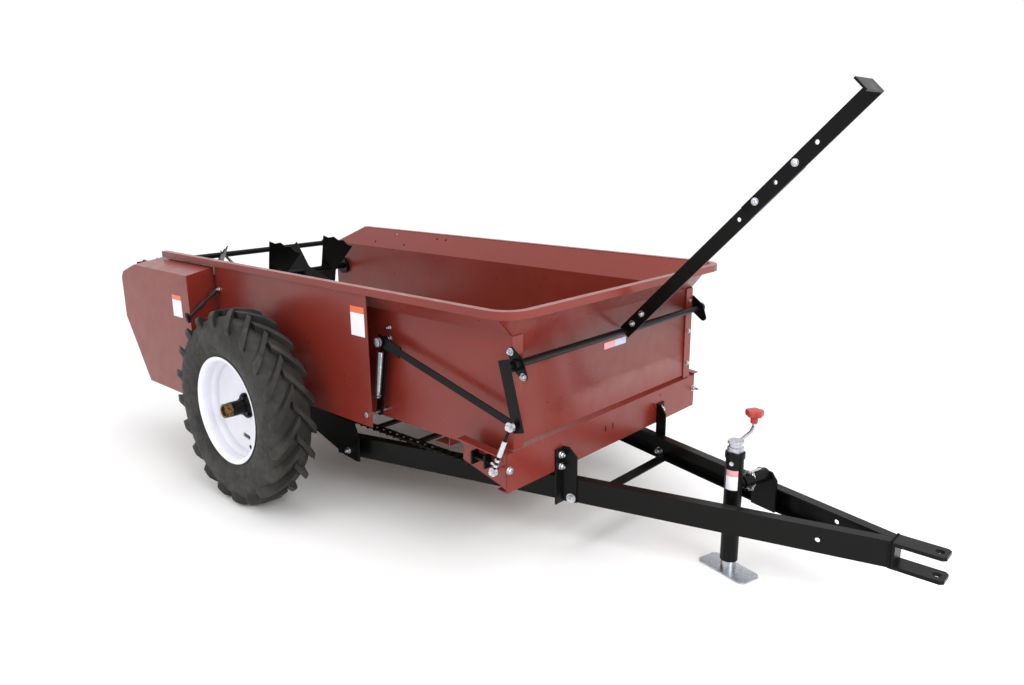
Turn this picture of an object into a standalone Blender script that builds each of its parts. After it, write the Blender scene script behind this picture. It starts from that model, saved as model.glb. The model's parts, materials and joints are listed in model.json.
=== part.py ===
"""A two-wheel, ground-drive manure spreader standing on its wheels and its tongue jack.

Metres, +X forward to the hitch, +Y to the left, +Z up. Z = 0 is the ground and X = Y = 0 is the
middle of the whole machine. Lengths along the machine are given from the wheel axle.
"""

from math import atan2, cos, pi, sin

import bmesh
import bpy
from mathutils import Matrix, Vector
from mathutils.geometry import convex_hull_2d

for old in list(bpy.data.objects):
    bpy.data.objects.remove(old, do_unlink=True)

# ---------------------------------------------------------------- driving sizes

GAP = 0.0003  # between pieces that touch
RUNNING_GAP = 0.0006  # round a pin that turns

FRONT_REACH = 2.430  # axle to the tip of the hitch
TUBE_X = -1.390  # axle to the cross tube at the rear
TUBE_EYE_RADIUS = 0.024
REAR_REACH = TUBE_EYE_RADIUS - TUBE_X
AXLE_X = (REAR_REACH - FRONT_REACH) / 2

TYRE_RADIUS = 0.403
TYRE_WIDTH = 0.190
WHEEL_Y = 0.830  # middle of the tyre
RIM_FLANGE_RADIUS = 0.2225
AXLE_RADIUS = 0.019
HUB_RADIUS = 0.030
HUB_OUTER_Y = 0.917
HUB_INNER_Y = 0.740

SHEET = 0.003  # box sheet metal
BOX_HALF_WIDTH = 0.564  # to the outside of the side wall
BOX_FRONT = 1.2415  # axle to the outside of the front wall
BOX_REAR = 1.250  # axle to the rear end of the side walls
WALL_BOTTOM_Z = 0.424
FRONT_BOTTOM_Z = 0.468
CREASE_Z = 0.844  # where the wall turns out into the flare
RIM_TOP_Z = 0.943
FLARE_SIDE = 0.084  # how far the side flares lean out
FLARE_FRONT = 0.068
RIM_REAR = {-1: 0.935, 1: 1.067}  # axle to the rear end of the rim, right and left
RIM_WIDTH = 0.028
RIM_DROP = 0.027
RIM_CORNER_RADIUS = 0.075
CORNER_STEPS = 6
RETURN_X = 1.2428  # back of the strip that the side wall turns in front of the front wall
RETURN_INNER_Y = 0.515
FLARE_HOLE_RADIUS = 0.006
FLARE_HOLES = (
    (-0.741, 0.917),
    (-0.391, 0.917),
    (-0.321, 0.917),
    (-0.628, 0.870),
    (-0.887, 0.870),
)

FLOOR_THICKNESS = 0.018
FLOOR_TOP_Z = 0.4675
FLOOR_REAR = 0.878  # behind the axle
FLOOR_FRONT = 1.066

BEAM_FACE = 1.250  # axle to the front of the front beam
BEAM_TOP_Z = 0.453
BEAM_BOTTOM_Z = 0.316
BEAM_DEPTH = 0.045
BEAM_HALF_WIDTH = 0.602
BEAM_SHEET = 0.005
END_PLATE = ((1.248, 0.330), (1.248, 0.460), (1.055, 0.475), (1.052, 0.387), (1.222, 0.342))
END_FLANGE_Y = 0.640

SIDE_FRAME_Y = 0.5675  # inner face
SIDE_FRAME_THICKNESS = 0.010
AXLE_BOX = 0.060  # square middle of the axle

RAIL_HEIGHT = 0.087
RAIL_TOP_Z = 0.276
RAIL_FLANGE = 0.038
RAIL_SHEET = 0.006
RAIL_REAR = 0.262  # axle to the rear end of the rails
RAIL_REAR_Y = 0.5665  # outside of the web there
RAIL_FRONT = 2.280
RAIL_FRONT_Y = 0.030
RAIL_HOLE = (2.080, 0.232, 0.008)  # X, Z and radius of the hole in each web
BRACE_X = 1.323
BRACE_WIDTH = 0.045

HITCH_HALF_WIDTH = 0.035
HITCH_PLATE = 0.012
HITCH_PIN_RADIUS = 0.0125
HITCH_PIN_SETBACK = 0.026
HITCH_BLOCK_LENGTH = 0.012

SHIELD_Y = 0.660  # outer face
SHIELD_TOP_Z = 0.925
SHIELD_BOTTOM_Z = 0.412
SHIELD_FRONT = 0.625
SHIELD_REAR = 0.457  # behind the axle

GUARD_Y = 0.800  # outer face
GUARD_HINGE = 1.122  # behind the axle
GUARD_FRONT = 0.445  # behind the axle
GUARD_TOP_Z = 0.889  # at the outer face
GUARD_TOP_RISE = 0.020  # from there to the machine's side
GUARD_FRONT_SLANT = 0.025  # how far the front face leans back on its way in
GUARD_BOTTOM_Z = 0.323

BEATER_X = -1.170
BEATER_Z = 0.705
TUBE_Z = 0.825
TUBE_RADIUS = 0.0155
BEATER_SHAFT_RADIUS = 0.0160
PADDLE_RADIUS = 0.222
PADDLE_SPREAD = 0.83  # radians across each toothed end
PADDLE_HUB_WIDTH = 0.090
PADDLE_SHEET = 0.006
PADDLE_PITCH = 0.80  # radians that a paddle is turned about its own length

CHAIN_Y = 0.500
CHAIN_WIDTH = 0.040
CHAIN_BOTTOM_Z = 0.318
CHAIN_THICKNESS = 0.012
CHAIN_TOP_Z = FLOOR_TOP_Z + GAP + CHAIN_THICKNESS
APRON_MIDDLE_Z = (CHAIN_TOP_Z + CHAIN_BOTTOM_Z) / 2
SLAT_WIDTH = 0.030
SLAT_SPACING = 0.230
APRON_FRONT = 1.200  # outside of the front bend
DRIVE_X = -0.930
APRON_SHAFT_RADIUS = 0.015
DRIVE_TAB = 0.040  # half length of the wall's tab that carries the drive shaft

SHAFT_X = 1.270  # rockshaft
SHAFT_Z = 0.757
SHAFT_RADIUS = 0.0127
SHAFT_HALF_LENGTH = 0.597
BEARING_BOLT = (0.027, -0.037)  # from the shaft to each flange bolt, and the opposite way
BEARING_BOSS_Y = 0.595
ARM_Y = -0.632  # outer face of the arm
ARM_THICKNESS = 0.010
ARM_WIDTH = 0.040
ARM_PIN = (1.322, 0.565)
SPRING_PIN = (1.314, 0.580)
SPRING_FOOT = (1.238, 0.408)
PIN_RADIUS = 0.006
HOLD_SLOT = 0.0205  # how far the upper pin slides in its eye
HOLD_PLAY = 0.0026
HOLD_WIDTH = 0.027
LINK_PLAY = 0.0048
LINK_SLOT = 0.006  # half length of the slot in the link's rear eye

LEVER_Y = 0.044
LEVER_ANGLE = 45.4 * pi / 180
LEVER_WIDTH = 0.050
LEVER_THICKNESS = 0.0065
LEVER_LENGTH = 1.166
LEVER_HEEL = 0.013  # how far it runs past the rockshaft
LEVER_SPLICE = (0.640, 0.870)  # start and end of the overlap, along the lever
LEVER_GRIP = 0.130  # how far the bent end reaches to the right

RELAY_FOOT = (0.600, 0.458)
RELAY_TOP = (0.652, 0.741)
RELAY_Y = -0.606
LINK_Y = -0.6215
LINK_THICKNESS = 0.006

JACK_X = 1.773
JACK_Y = -0.045
JACK_PIVOT_Z = 0.313
JACK_RADIUS = 0.030
JACK_SHELL_BOTTOM_Z = 0.040
JACK_SHELL_TOP_Z = 0.432
JACK_HEAD_TOP_Z = 0.474
JACK_LEG_RADIUS = 0.026
CRANK_REACH = 0.128
CRANK_RADIUS = 0.007
KNOB_TOP_Z = 0.550
FOOT_LENGTH = 0.205
FOOT_WIDTH = 0.095
FOOT_THICKNESS = 0.006

RIGHT, LEFT = -1, 1
SIDES = ((RIGHT, "right"), (LEFT, "left"))


# ---------------------------------------------------------------- materials


def linear(channel):
    return channel / 12.92 if channel <= 0.04045 else ((channel + 0.055) / 1.055) ** 2.4


def paint(name, hex_colour, roughness, metallic=0.0):
    made = bpy.data.materials.new(name)
    made.use_nodes = True
    shader = made.node_tree.nodes["Principled BSDF"]
    channels = [int(hex_colour[i : i + 2], 16) / 255 for i in (0, 2, 4)]
    shader.inputs["Base Color"].default_value = [*map(linear, channels), 1]
    shader.inputs["Roughness"].default_value = roughness
    shader.inputs["Metallic"].default_value = metallic
    return made


RED = paint("red_paint", "8B3F3A", 0.35)
BLACK = paint("black_paint", "1C1C1C", 0.40)
WHITE = paint("white_paint", "E8E8EC", 0.40)
RUBBER = paint("tyre_rubber", "4A4845", 0.80)
LATCH = paint("latch_rubber", "262524", 0.80)
ZINC = paint("zinc_plate", "B9BCC0", 0.35, 1.0)
PLASTIC = paint("red_plastic", "C23A35", 0.40)
WOOD = paint("pine_boards", "8A6B47", 0.70)


# ---------------------------------------------------------------- shape helpers


def at_axle(x):
    """X of a place measured forward from the wheel axle."""
    return AXLE_X + x


def add_object(name, mesh, material, origin=(0, 0, 0)):
    """Adds a mesh built in world space, with its object's origin moved to where it turns or sits."""
    mesh.transform(Matrix.Translation(-Vector(origin)))
    made = bpy.data.objects.new(name, mesh)
    made.location = origin
    mesh.materials.append(material)
    bpy.context.scene.collection.objects.link(made)
    return made


def mesh_of(build, name):
    mesh = bpy.data.meshes.new(name)
    build.normal_update()
    bmesh.ops.recalc_face_normals(build, faces=build.faces[:])
    build.to_mesh(mesh)
    build.free()
    return mesh


def smooth(made, angle=35):
    made.data.shade_smooth()
    made.data.set_sharp_from_angle(angle=angle * pi / 180)
    return made


def place(axis, flat, along):
    """A 3-D point from two coordinates in the plane across an axis and one along it."""
    if axis == "X":
        return Vector((along, flat[0], flat[1]))
    if axis == "Y":
        return Vector((flat[0], along, flat[1]))
    return Vector((flat[0], flat[1], along))


def add_prism(build, outline, axis, low, high):
    """Extrudes an outline in the plane across an axis, from low to high along it."""
    bottom = [build.verts.new(place(axis, point, low)) for point in outline]
    top = [build.verts.new(place(axis, point, high)) for point in outline]
    build.faces.new(bottom)
    build.faces.new(list(reversed(top)))
    for i in range(len(outline)):
        j = (i + 1) % len(outline)
        build.faces.new((bottom[i], bottom[j], top[j], top[i]))


def prism(name, outline, axis, low, high, material, origin=(0, 0, 0)):
    build = bmesh.new()
    add_prism(build, outline, axis, low, high)
    return add_object(name, mesh_of(build, name), material, origin)


def box(name, low, high, material, origin=(0, 0, 0)):
    outline = [(low[0], low[1]), (high[0], low[1]), (high[0], high[1]), (low[0], high[1])]
    return prism(name, outline, "Z", low[2], high[2], material, origin)


def arc(centre, radius, start, end, steps):
    """Points along an arc; angles in degrees from the plane's first axis."""
    points = []
    for i in range(steps + 1):
        turn = (start + (end - start) * i / steps) * pi / 180
        points.append((centre[0] + radius * cos(turn), centre[1] + radius * sin(turn)))
    return points


def circle(centre, radius, steps=24):
    return arc(centre, radius, 0, 360 - 360 / steps, steps - 1)


def turned(name, profile, axis, centre, material, steps=48, origin=(0, 0, 0)):
    """Revolves a closed profile of (radius, place along the axis) about an axis through centre."""
    build = bmesh.new()
    rings = []
    for i in range(steps):
        turn = 2 * pi * i / steps
        ring = []
        for radius, along in profile:
            flat = (centre[0] + radius * cos(turn), centre[1] + radius * sin(turn))
            ring.append(build.verts.new(place(axis, flat, along)))
        rings.append(ring)
    for i in range(steps):
        near, far = rings[i], rings[(i + 1) % steps]
        for j in range(len(profile)):
            k = (j + 1) % len(profile)
            build.faces.new((near[j], near[k], far[k], far[j]))
    bmesh.ops.remove_doubles(build, verts=build.verts[:], dist=1e-6)
    return smooth(add_object(name, mesh_of(build, name), material, origin))


def helper(made):
    made.hide_render = True
    made.display_type = "WIRE"
    return made


def combine(made, other, operation):
    """Cuts a helper object from a piece, or joins it on."""
    step = made.modifiers.new(other.name, "BOOLEAN")
    step.object = helper(other)
    step.operation = operation
    step.solver = "EXACT"
    return made


def drill(made, axis, centre, radius, low, high, steps=24):
    """Cuts a round hole along an axis."""
    cutter = prism(f"{made.name}_hole", circle(centre, radius, steps), axis, low, high, made.active_material)
    return combine(made, cutter, "DIFFERENCE")


def join(made, *others):
    for other in others:
        combine(made, other, "UNION")
    return made


def mirrored(points, side):
    """Turns (x, |y|) points to one side of the machine."""
    return [(x, side * y) for x, y in points]


def bar_outline(start, end, width, lead=0.0, tail=0.0):
    """A straight flat bar between two points, run on by lead at its start and tail at its end."""
    along = (Vector(end) - Vector(start)).normalized()
    across = Vector((-along.y, along.x)) * width / 2
    first = Vector(start) - along * lead
    last = Vector(end) + along * tail
    corners = (first - across, last - across, last + across, first + across)
    return [(corner.x, corner.y) for corner in corners]


def round_bar_outline(start, end, width, steps=8):
    """A flat bar between two points with half-round ends about them."""
    heading = atan2(end[1] - start[1], end[0] - start[0]) * 180 / pi
    return arc(end, width / 2, heading - 90, heading + 90, steps) + arc(
        start, width / 2, heading + 90, heading + 270, steps
    )


def shell(name, corners, faces, thickness, material):
    """Sheet metal: a surface given a thickness on the side its faces point to."""
    build = bmesh.new()
    verts = [build.verts.new(corner) for corner in corners]
    for face in faces:
        build.faces.new([verts[i] for i in face])
    mesh = bpy.data.meshes.new(name)
    build.to_mesh(mesh)
    build.free()
    made = add_object(name, mesh, material)
    thicken = made.modifiers.new("Thickness", "SOLIDIFY")
    thicken.thickness = thickness
    thicken.offset = 1
    thicken.use_even_offset = True
    return made


# ---------------------------------------------------------------- box


def rim_corner():
    """Points of the rim's inner edge round the front corner, as (x, |y|), from the side to the front."""
    inner_y = BOX_HALF_WIDTH - SHEET + FLARE_SIDE
    inner_x = at_axle(BOX_FRONT - SHEET + FLARE_FRONT)
    centre = (inner_x - RIM_CORNER_RADIUS, inner_y - RIM_CORNER_RADIUS)
    return list(reversed(arc(centre, RIM_CORNER_RADIUS, 0, 90, CORNER_STEPS)))


def side_panel(side, word):
    """Side wall and flare in one sheet; the flare is cut away on a slope at the rear."""
    y_wall = BOX_HALF_WIDTH - SHEET
    y_rim = y_wall + FLARE_SIDE
    front = at_axle(BOX_FRONT - SHEET) - 2 * GAP
    rim_front = rim_corner()[0][0] - 4 * GAP
    rear = at_axle(-BOX_REAR)
    flare_top = RIM_TOP_Z - SHEET - GAP
    notch = at_axle(BEAM_FACE - BEAM_DEPTH - 0.005)
    drive = at_axle(DRIVE_X)
    tab_bottom = APRON_MIDDLE_Z - DRIVE_TAB
    corners = [
        (rear, side * y_wall, WALL_BOTTOM_Z),
        (drive - DRIVE_TAB * 1.5, side * y_wall, WALL_BOTTOM_Z),
        (drive - DRIVE_TAB, side * y_wall, tab_bottom),
        (drive + DRIVE_TAB, side * y_wall, tab_bottom),
        (drive + DRIVE_TAB * 1.5, side * y_wall, WALL_BOTTOM_Z),
        (notch, side * y_wall, WALL_BOTTOM_Z),
        (notch, side * y_wall, BEAM_TOP_Z + 0.002),
        (front, side * y_wall, BEAM_TOP_Z + 0.002),
        (front, side * y_wall, CREASE_Z),
        (rear, side * y_wall, CREASE_Z),
        (rim_front, side * y_rim, flare_top),
        (at_axle(-RIM_REAR[side]), side * y_rim, flare_top),
    ]
    faces = [(0, 1, 2, 3, 4, 5, 6, 7, 8, 9), (9, 8, 10, 11)]
    if side == LEFT:
        faces = [tuple(reversed(face)) for face in faces]
    made = shell(f"side_panel_{word}", corners, faces, SHEET, RED)
    skin = GAP
    strip = [
        (at_axle(RETURN_X - 0.015), y_wall + skin),
        (at_axle(RETURN_X), y_wall + skin),
        (at_axle(RETURN_X), RETURN_INNER_Y),
        (at_axle(RETURN_X + SHEET), RETURN_INNER_Y),
        (at_axle(RETURN_X + SHEET), BOX_HALF_WIDTH - skin),
        (at_axle(RETURN_X - 0.015), BOX_HALF_WIDTH - skin),
    ]
    bottom = BEAM_TOP_Z + 0.004
    join(made, prism(f"return_{word}", mirrored(strip, side), "Z", bottom, CREASE_Z - 0.002, RED))
    low, high = sorted((side * (y_wall - 0.050), side * (y_wall + 0.120)))
    for x, z in FLARE_HOLES:
        drill(made, "Y", (at_axle(x), z), FLARE_HOLE_RADIUS, low, high, 8)
    hole = APRON_SHAFT_RADIUS + GAP
    drill(made, "Y", (drive, APRON_MIDDLE_Z), hole, low, high)
    drill(made, "Y", (at_axle(BEATER_X), BEATER_Z), BEATER_SHAFT_RADIUS + 0.004, low, high)


def front_panel():
    """Front wall and flare, with a fan of small facets round each top corner."""
    wall_x = at_axle(BOX_FRONT - SHEET)
    wall_y = BOX_HALF_WIDTH - SHEET
    flare_top = RIM_TOP_Z - SHEET - GAP
    inset = 2 * GAP
    corners = [
        (wall_x, -wall_y + inset, FRONT_BOTTOM_Z),
        (wall_x, wall_y - inset, FRONT_BOTTOM_Z),
        (wall_x, wall_y - inset, CREASE_Z),
        (wall_x, -wall_y + inset, CREASE_Z),
    ]
    right = [(x, -y, flare_top) for x, y in rim_corner()]
    left = [(x, y, flare_top) for x, y in rim_corner()]
    first_right = len(corners)
    corners += right
    first_left = len(corners)
    corners += left
    last = CORNER_STEPS
    faces = [(0, 1, 2, 3), (3, 2, first_left + last, first_right + last)]
    for i in range(CORNER_STEPS):
        faces.append((3, first_right + i + 1, first_right + i))
        faces.append((2, first_left + i, first_left + i + 1))
    return shell("front_panel", corners, faces, SHEET, RED)


def rim_rail():
    """The folded lip round the sides and front: a flat top and a turned-down outer edge."""
    section = [
        (0, RIM_TOP_Z - SHEET),
        (0, RIM_TOP_Z),
        (RIM_WIDTH, RIM_TOP_Z),
        (RIM_WIDTH, RIM_TOP_Z - RIM_DROP),
        (RIM_WIDTH - SHEET, RIM_TOP_Z - RIM_DROP),
        (RIM_WIDTH - SHEET, RIM_TOP_Z - SHEET),
    ]
    corner = rim_corner()
    inner_y = corner[0][1]
    route = [((at_axle(-RIM_REAR[RIGHT]), -inner_y), (0, -1))]
    for i, (x, y) in enumerate(corner):
        turn = i / CORNER_STEPS * pi / 2
        route.append(((x, -y), (sin(turn), -cos(turn))))
    for i, (x, y) in reversed(list(enumerate(corner))):
        turn = i / CORNER_STEPS * pi / 2
        route.append(((x, y), (sin(turn), cos(turn))))
    route.append(((at_axle(-RIM_REAR[LEFT]), inner_y), (0, 1)))
    build = bmesh.new()
    rings = []
    for (x, y), (out_x, out_y) in route:
        rings.append([build.verts.new((x + out_x * out, y + out_y * out, z)) for out, z in section])
    for near, far in zip(rings, rings[1:]):
        for j in range(len(section)):
            k = (j + 1) % len(section)
            build.faces.new((near[j], near[k], far[k], far[j]))
    build.faces.new(rings[0])
    build.faces.new(list(reversed(rings[-1])))
    return smooth(add_object("rim_rail", mesh_of(build, "rim_rail"), RED))


def floor_and_supports():
    half = BOX_HALF_WIDTH - SHEET - GAP
    floor_bottom = FLOOR_TOP_Z - FLOOR_THICKNESS
    box(
        "floor",
        (at_axle(-FLOOR_REAR), -half, floor_bottom),
        (at_axle(FLOOR_FRONT), half, FLOOR_TOP_Z),
        WOOD,
    )
    depth, height, sheet = 0.075, 0.060, 0.004
    for name, x in (("rear", -0.820), ("middle", -0.330), ("front", 0.860)):
        low = at_axle(x)
        top = floor_bottom - GAP
        section = [
            (low, top - height),
            (low + depth, top - height),
            (low + depth, top),
            (low, top),
            (low, top - sheet),
            (low + depth - sheet, top - sheet),
            (low + depth - sheet, top - height + sheet),
            (low, top - height + sheet),
        ]
        prism(f"floor_cross_member_{name}", section, "Y", -half, half, RED)


def front_beam():
    face = at_axle(BEAM_FACE)
    back = face - BEAM_DEPTH
    section = [
        (face, BEAM_BOTTOM_Z),
        (face, BEAM_TOP_Z),
        (back, BEAM_TOP_Z),
        (back, BEAM_TOP_Z - BEAM_SHEET),
        (face - BEAM_SHEET, BEAM_TOP_Z - BEAM_SHEET),
        (face - BEAM_SHEET, BEAM_BOTTOM_Z + BEAM_SHEET),
        (back, BEAM_BOTTOM_Z + BEAM_SHEET),
        (back, BEAM_BOTTOM_Z),
    ]
    prism("front_beam", section, "Y", -BEAM_HALF_WIDTH, BEAM_HALF_WIDTH, RED)
    for side, word in SIDES:
        outline = [(at_axle(x), z) for x, z in END_PLATE]
        inner = side * (BEAM_HALF_WIDTH + GAP)
        outer = side * (BEAM_HALF_WIDTH + GAP + BEAM_SHEET)
        plate = prism(f"beam_end_plate_{word}", outline, "Y", *sorted((inner, outer)), RED)
        front_top, rear_top = outline[1], outline[2]
        flange = [
            (front_top[0] - 0.002, front_top[1] - 0.0005),
            (rear_top[0] + 0.002, rear_top[1] - 0.0005),
            (rear_top[0] + 0.002, rear_top[1] - BEAM_SHEET),
            (front_top[0] - 0.002, front_top[1] - BEAM_SHEET),
        ]
        reach = sorted((inner + side * 0.001, side * END_FLANGE_Y))
        join(plate, prism(f"beam_end_flange_{word}", flange, "Y", *reach, RED))
        if side == RIGHT:
            foot = (at_axle(SPRING_FOOT[0]), SPRING_FOOT[1])
            pin = prism("spring_foot_pin", circle(foot, PIN_RADIUS), "Y", -0.662, inner - 0.002, RED)
            join(plate, pin)
        low, high = sorted((outer + side * GAP, outer + side * 0.034))
        prism(
            f"chain_adjuster_{word}",
            [(face - 0.128, 0.404), (face - 0.040, 0.404), (face - 0.040, 0.438), (face - 0.128, 0.438)],
            "Y",
            low,
            high,
            BLACK,
        )


# ---------------------------------------------------------------- running gear


def wheel(side, word):
    """Tyre, and the rim with its dished disc and hub tube in one weldment, about the axle."""
    centre = (at_axle(0), TYRE_RADIUS)
    axle_point = (centre[0], side * WHEEL_Y, centre[1])

    def outboard(w):
        return side * (WHEEL_Y + w)

    half = TYRE_WIDTH / 2
    bead = 0.2035
    outside = [
        (bead, 0.062),
        (0.2140, 0.0700),
        (0.2240, 0.0750),
        (0.2400, 0.0880),
        (0.2700, half),
        (0.3550, half * 0.960),
        (0.3880, half * 0.880),
        (TYRE_RADIUS, half * 0.450),
    ]
    inside = [
        (TYRE_RADIUS - 0.026, half * 0.400),
        (0.3640, half * 0.760),
        (0.2800, half * 0.860),
        (0.2350, 0.0640),
        (bead, 0.0460),
    ]
    tyre_profile = [(r, outboard(w)) for r, w in outside]
    tyre_profile += [(r, outboard(-w)) for r, w in reversed(outside)]
    tyre_profile += [(r, outboard(-w)) for r, w in reversed(inside)]
    tyre_profile += [(r, outboard(w)) for r, w in inside]
    turned(f"tyre_{word}", tyre_profile, "Y", centre, RUBBER, 48, axle_point)

    sheet = 0.004
    seat = bead - GAP - 0.0002
    bore = AXLE_RADIUS + RUNNING_GAP
    outside = [
        (RIM_FLANGE_RADIUS, 0.0800),
        (RIM_FLANGE_RADIUS, 0.0765),
        (0.2125, 0.0725),
        (seat, 0.0640),
        (seat, 0.0320),
        (0.1900, 0.0180),
    ]
    inside = [
        (0.1860, 0.0200),
        (seat - sheet, 0.0340),
        (seat - sheet, 0.0680),
        (0.2095, 0.0760),
    ]
    disc = [
        (0.1860, 0.0000),
        (0.1760, -0.0060),
        (0.1550, -0.0150),
        (0.1200, -0.0190),
        (HUB_RADIUS, -0.0190),
        (HUB_RADIUS, HUB_INNER_Y - WHEEL_Y),
        (bore, HUB_INNER_Y - WHEEL_Y),
        (bore, HUB_OUTER_Y - WHEEL_Y),
        (HUB_RADIUS, HUB_OUTER_Y - WHEEL_Y),
        (HUB_RADIUS, -0.0140),
        (0.1210, -0.0140),
        (0.1560, -0.0100),
        (0.1780, -0.0010),
        (0.1860, 0.0060),
    ]
    rim_profile = [(r, outboard(w)) for r, w in outside]
    rim_profile += [(r, outboard(-w)) for r, w in reversed(outside)]
    rim_profile += [(r, outboard(-w)) for r, w in reversed(inside)]
    rim_profile += [(r, outboard(w)) for r, w in disc]
    rim_profile += [(r, outboard(w)) for r, w in inside]
    turned(f"rim_{word}", rim_profile, "Y", centre, WHITE, 40, axle_point)


def axle():
    centre = (at_axle(0), TYRE_RADIUS)
    half = HUB_OUTER_Y - 0.012
    bar = prism("axle", circle(centre, AXLE_RADIUS, 32), "Y", -half, half, BLACK)
    reach = AXLE_BOX / 2
    square_half = BOX_HALF_WIDTH - SHEET - GAP
    square = box(
        "axle_middle",
        (centre[0] - reach, -square_half, centre[1] - reach),
        (centre[0] + reach, square_half, centre[1] + reach),
        BLACK,
    )
    smooth(join(bar, square))


def side_frame(side, word):
    """The plate that carries the axle below the wall and drops forward to the tongue rail."""
    outline = [
        (at_axle(x), z)
        for x, z in (
            (-0.110, 0.455),
            (-0.110, 0.345),
            (0.030, 0.330),
            (0.130, 0.258),
            (0.326, 0.197),
            (0.412, 0.190),
            (0.418, 0.290),
            (0.388, 0.352),
            (0.110, 0.372),
            (0.080, 0.455),
        )
    ]
    low, high = sorted((side * SIDE_FRAME_Y, side * (SIDE_FRAME_Y + SIDE_FRAME_THICKNESS)))
    made = prism(f"side_frame_{word}", outline, "Y", low, high, BLACK)
    drill(
        made,
        "Y",
        (at_axle(0), TYRE_RADIUS),
        AXLE_RADIUS + GAP,
        low - SIDE_FRAME_THICKNESS,
        high + SIDE_FRAME_THICKNESS,
        32,
    )


# ---------------------------------------------------------------- tongue

RAIL_HEADING = Vector((RAIL_FRONT - RAIL_REAR, RAIL_FRONT_Y - RAIL_REAR_Y)).normalized()


def rail_y(x):
    """|y| of the outside of a rail's web at a distance forward of the axle."""
    share = (x - RAIL_REAR) / (RAIL_FRONT - RAIL_REAR)
    return RAIL_REAR_Y + (RAIL_FRONT_Y - RAIL_REAR_Y) * share


def tongue_rail(side, word):
    """A channel with its web outside and its flanges turned in, its ends cut square to the machine."""
    lean = 1 / RAIL_HEADING.x
    flange = RAIL_FLANGE * lean
    web = RAIL_SHEET * lean
    bottom = RAIL_TOP_Z - RAIL_HEIGHT
    section = [
        (0, bottom),
        (0, RAIL_TOP_Z),
        (flange, RAIL_TOP_Z),
        (flange, RAIL_TOP_Z - RAIL_SHEET),
        (web, RAIL_TOP_Z - RAIL_SHEET),
        (web, bottom + RAIL_SHEET),
        (flange, bottom + RAIL_SHEET),
        (flange, bottom),
    ]
    build = bmesh.new()
    rings = []
    for x, outside in ((RAIL_REAR, RAIL_REAR_Y), (RAIL_FRONT, RAIL_FRONT_Y)):
        rings.append([build.verts.new((at_axle(x), side * (outside - i), z)) for i, z in section])
    near, far = rings
    for j in range(len(section)):
        k = (j + 1) % len(section)
        build.faces.new((near[j], near[k], far[k], far[j]))
    build.faces.new(near)
    build.faces.new(list(reversed(far)))
    name = f"tongue_rail_{word}"
    made = add_object(name, mesh_of(build, name), BLACK)
    # Where the two rails run together at the front, each stops at the machine's centre plane.
    edge = side * GAP
    far_edge = -side * 0.200
    cutter = box(
        f"{name}_trim",
        (at_axle(RAIL_FRONT) - 0.250, min(edge, far_edge), bottom - 0.050),
        (at_axle(RAIL_FRONT) + 0.050, max(edge, far_edge), RAIL_TOP_Z + 0.050),
        BLACK,
    )
    combine(made, cutter, "DIFFERENCE")
    x, z, radius = RAIL_HOLE
    web_y = side * rail_y(x)
    drill(made, "Y", (at_axle(x), z), radius, web_y - 0.030, web_y + 0.030, 12)


def rail_bracket(side, word):
    """An angle: one leg on the beam's face, the other forward along the rail's web."""
    sheet = 0.006
    corner_x = BEAM_FACE + GAP
    web = rail_y(corner_x) + GAP * 2
    slope = (RAIL_FRONT_Y - RAIL_REAR_Y) / (RAIL_FRONT - RAIL_REAR)
    reach = 0.052
    leg_front = web + slope * reach
    outline = [
        (at_axle(corner_x), web),
        (at_axle(corner_x + reach), leg_front),
        (at_axle(corner_x + reach), leg_front + sheet),
        (at_axle(corner_x + sheet), web + sheet + slope * sheet),
        (at_axle(corner_x + sheet), web + 0.050),
        (at_axle(corner_x), web + 0.050),
    ]
    bottom = RAIL_TOP_Z - RAIL_HEIGHT
    top = 0.397
    name = f"rail_bracket_{word}"
    made = prism(name, mirrored(outline, side), "Z", bottom, top, BLACK)
    tip = at_axle(corner_x + reach)
    corner = [(tip - 0.030, top + 0.001), (tip + 0.010, top + 0.001), (tip + 0.010, top - 0.045)]
    low, high = sorted((side * (web - 0.060), side * (web + 0.060)))
    combine(made, prism(f"{name}_corner", corner, "Y", low, high, BLACK), "DIFFERENCE")


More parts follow.
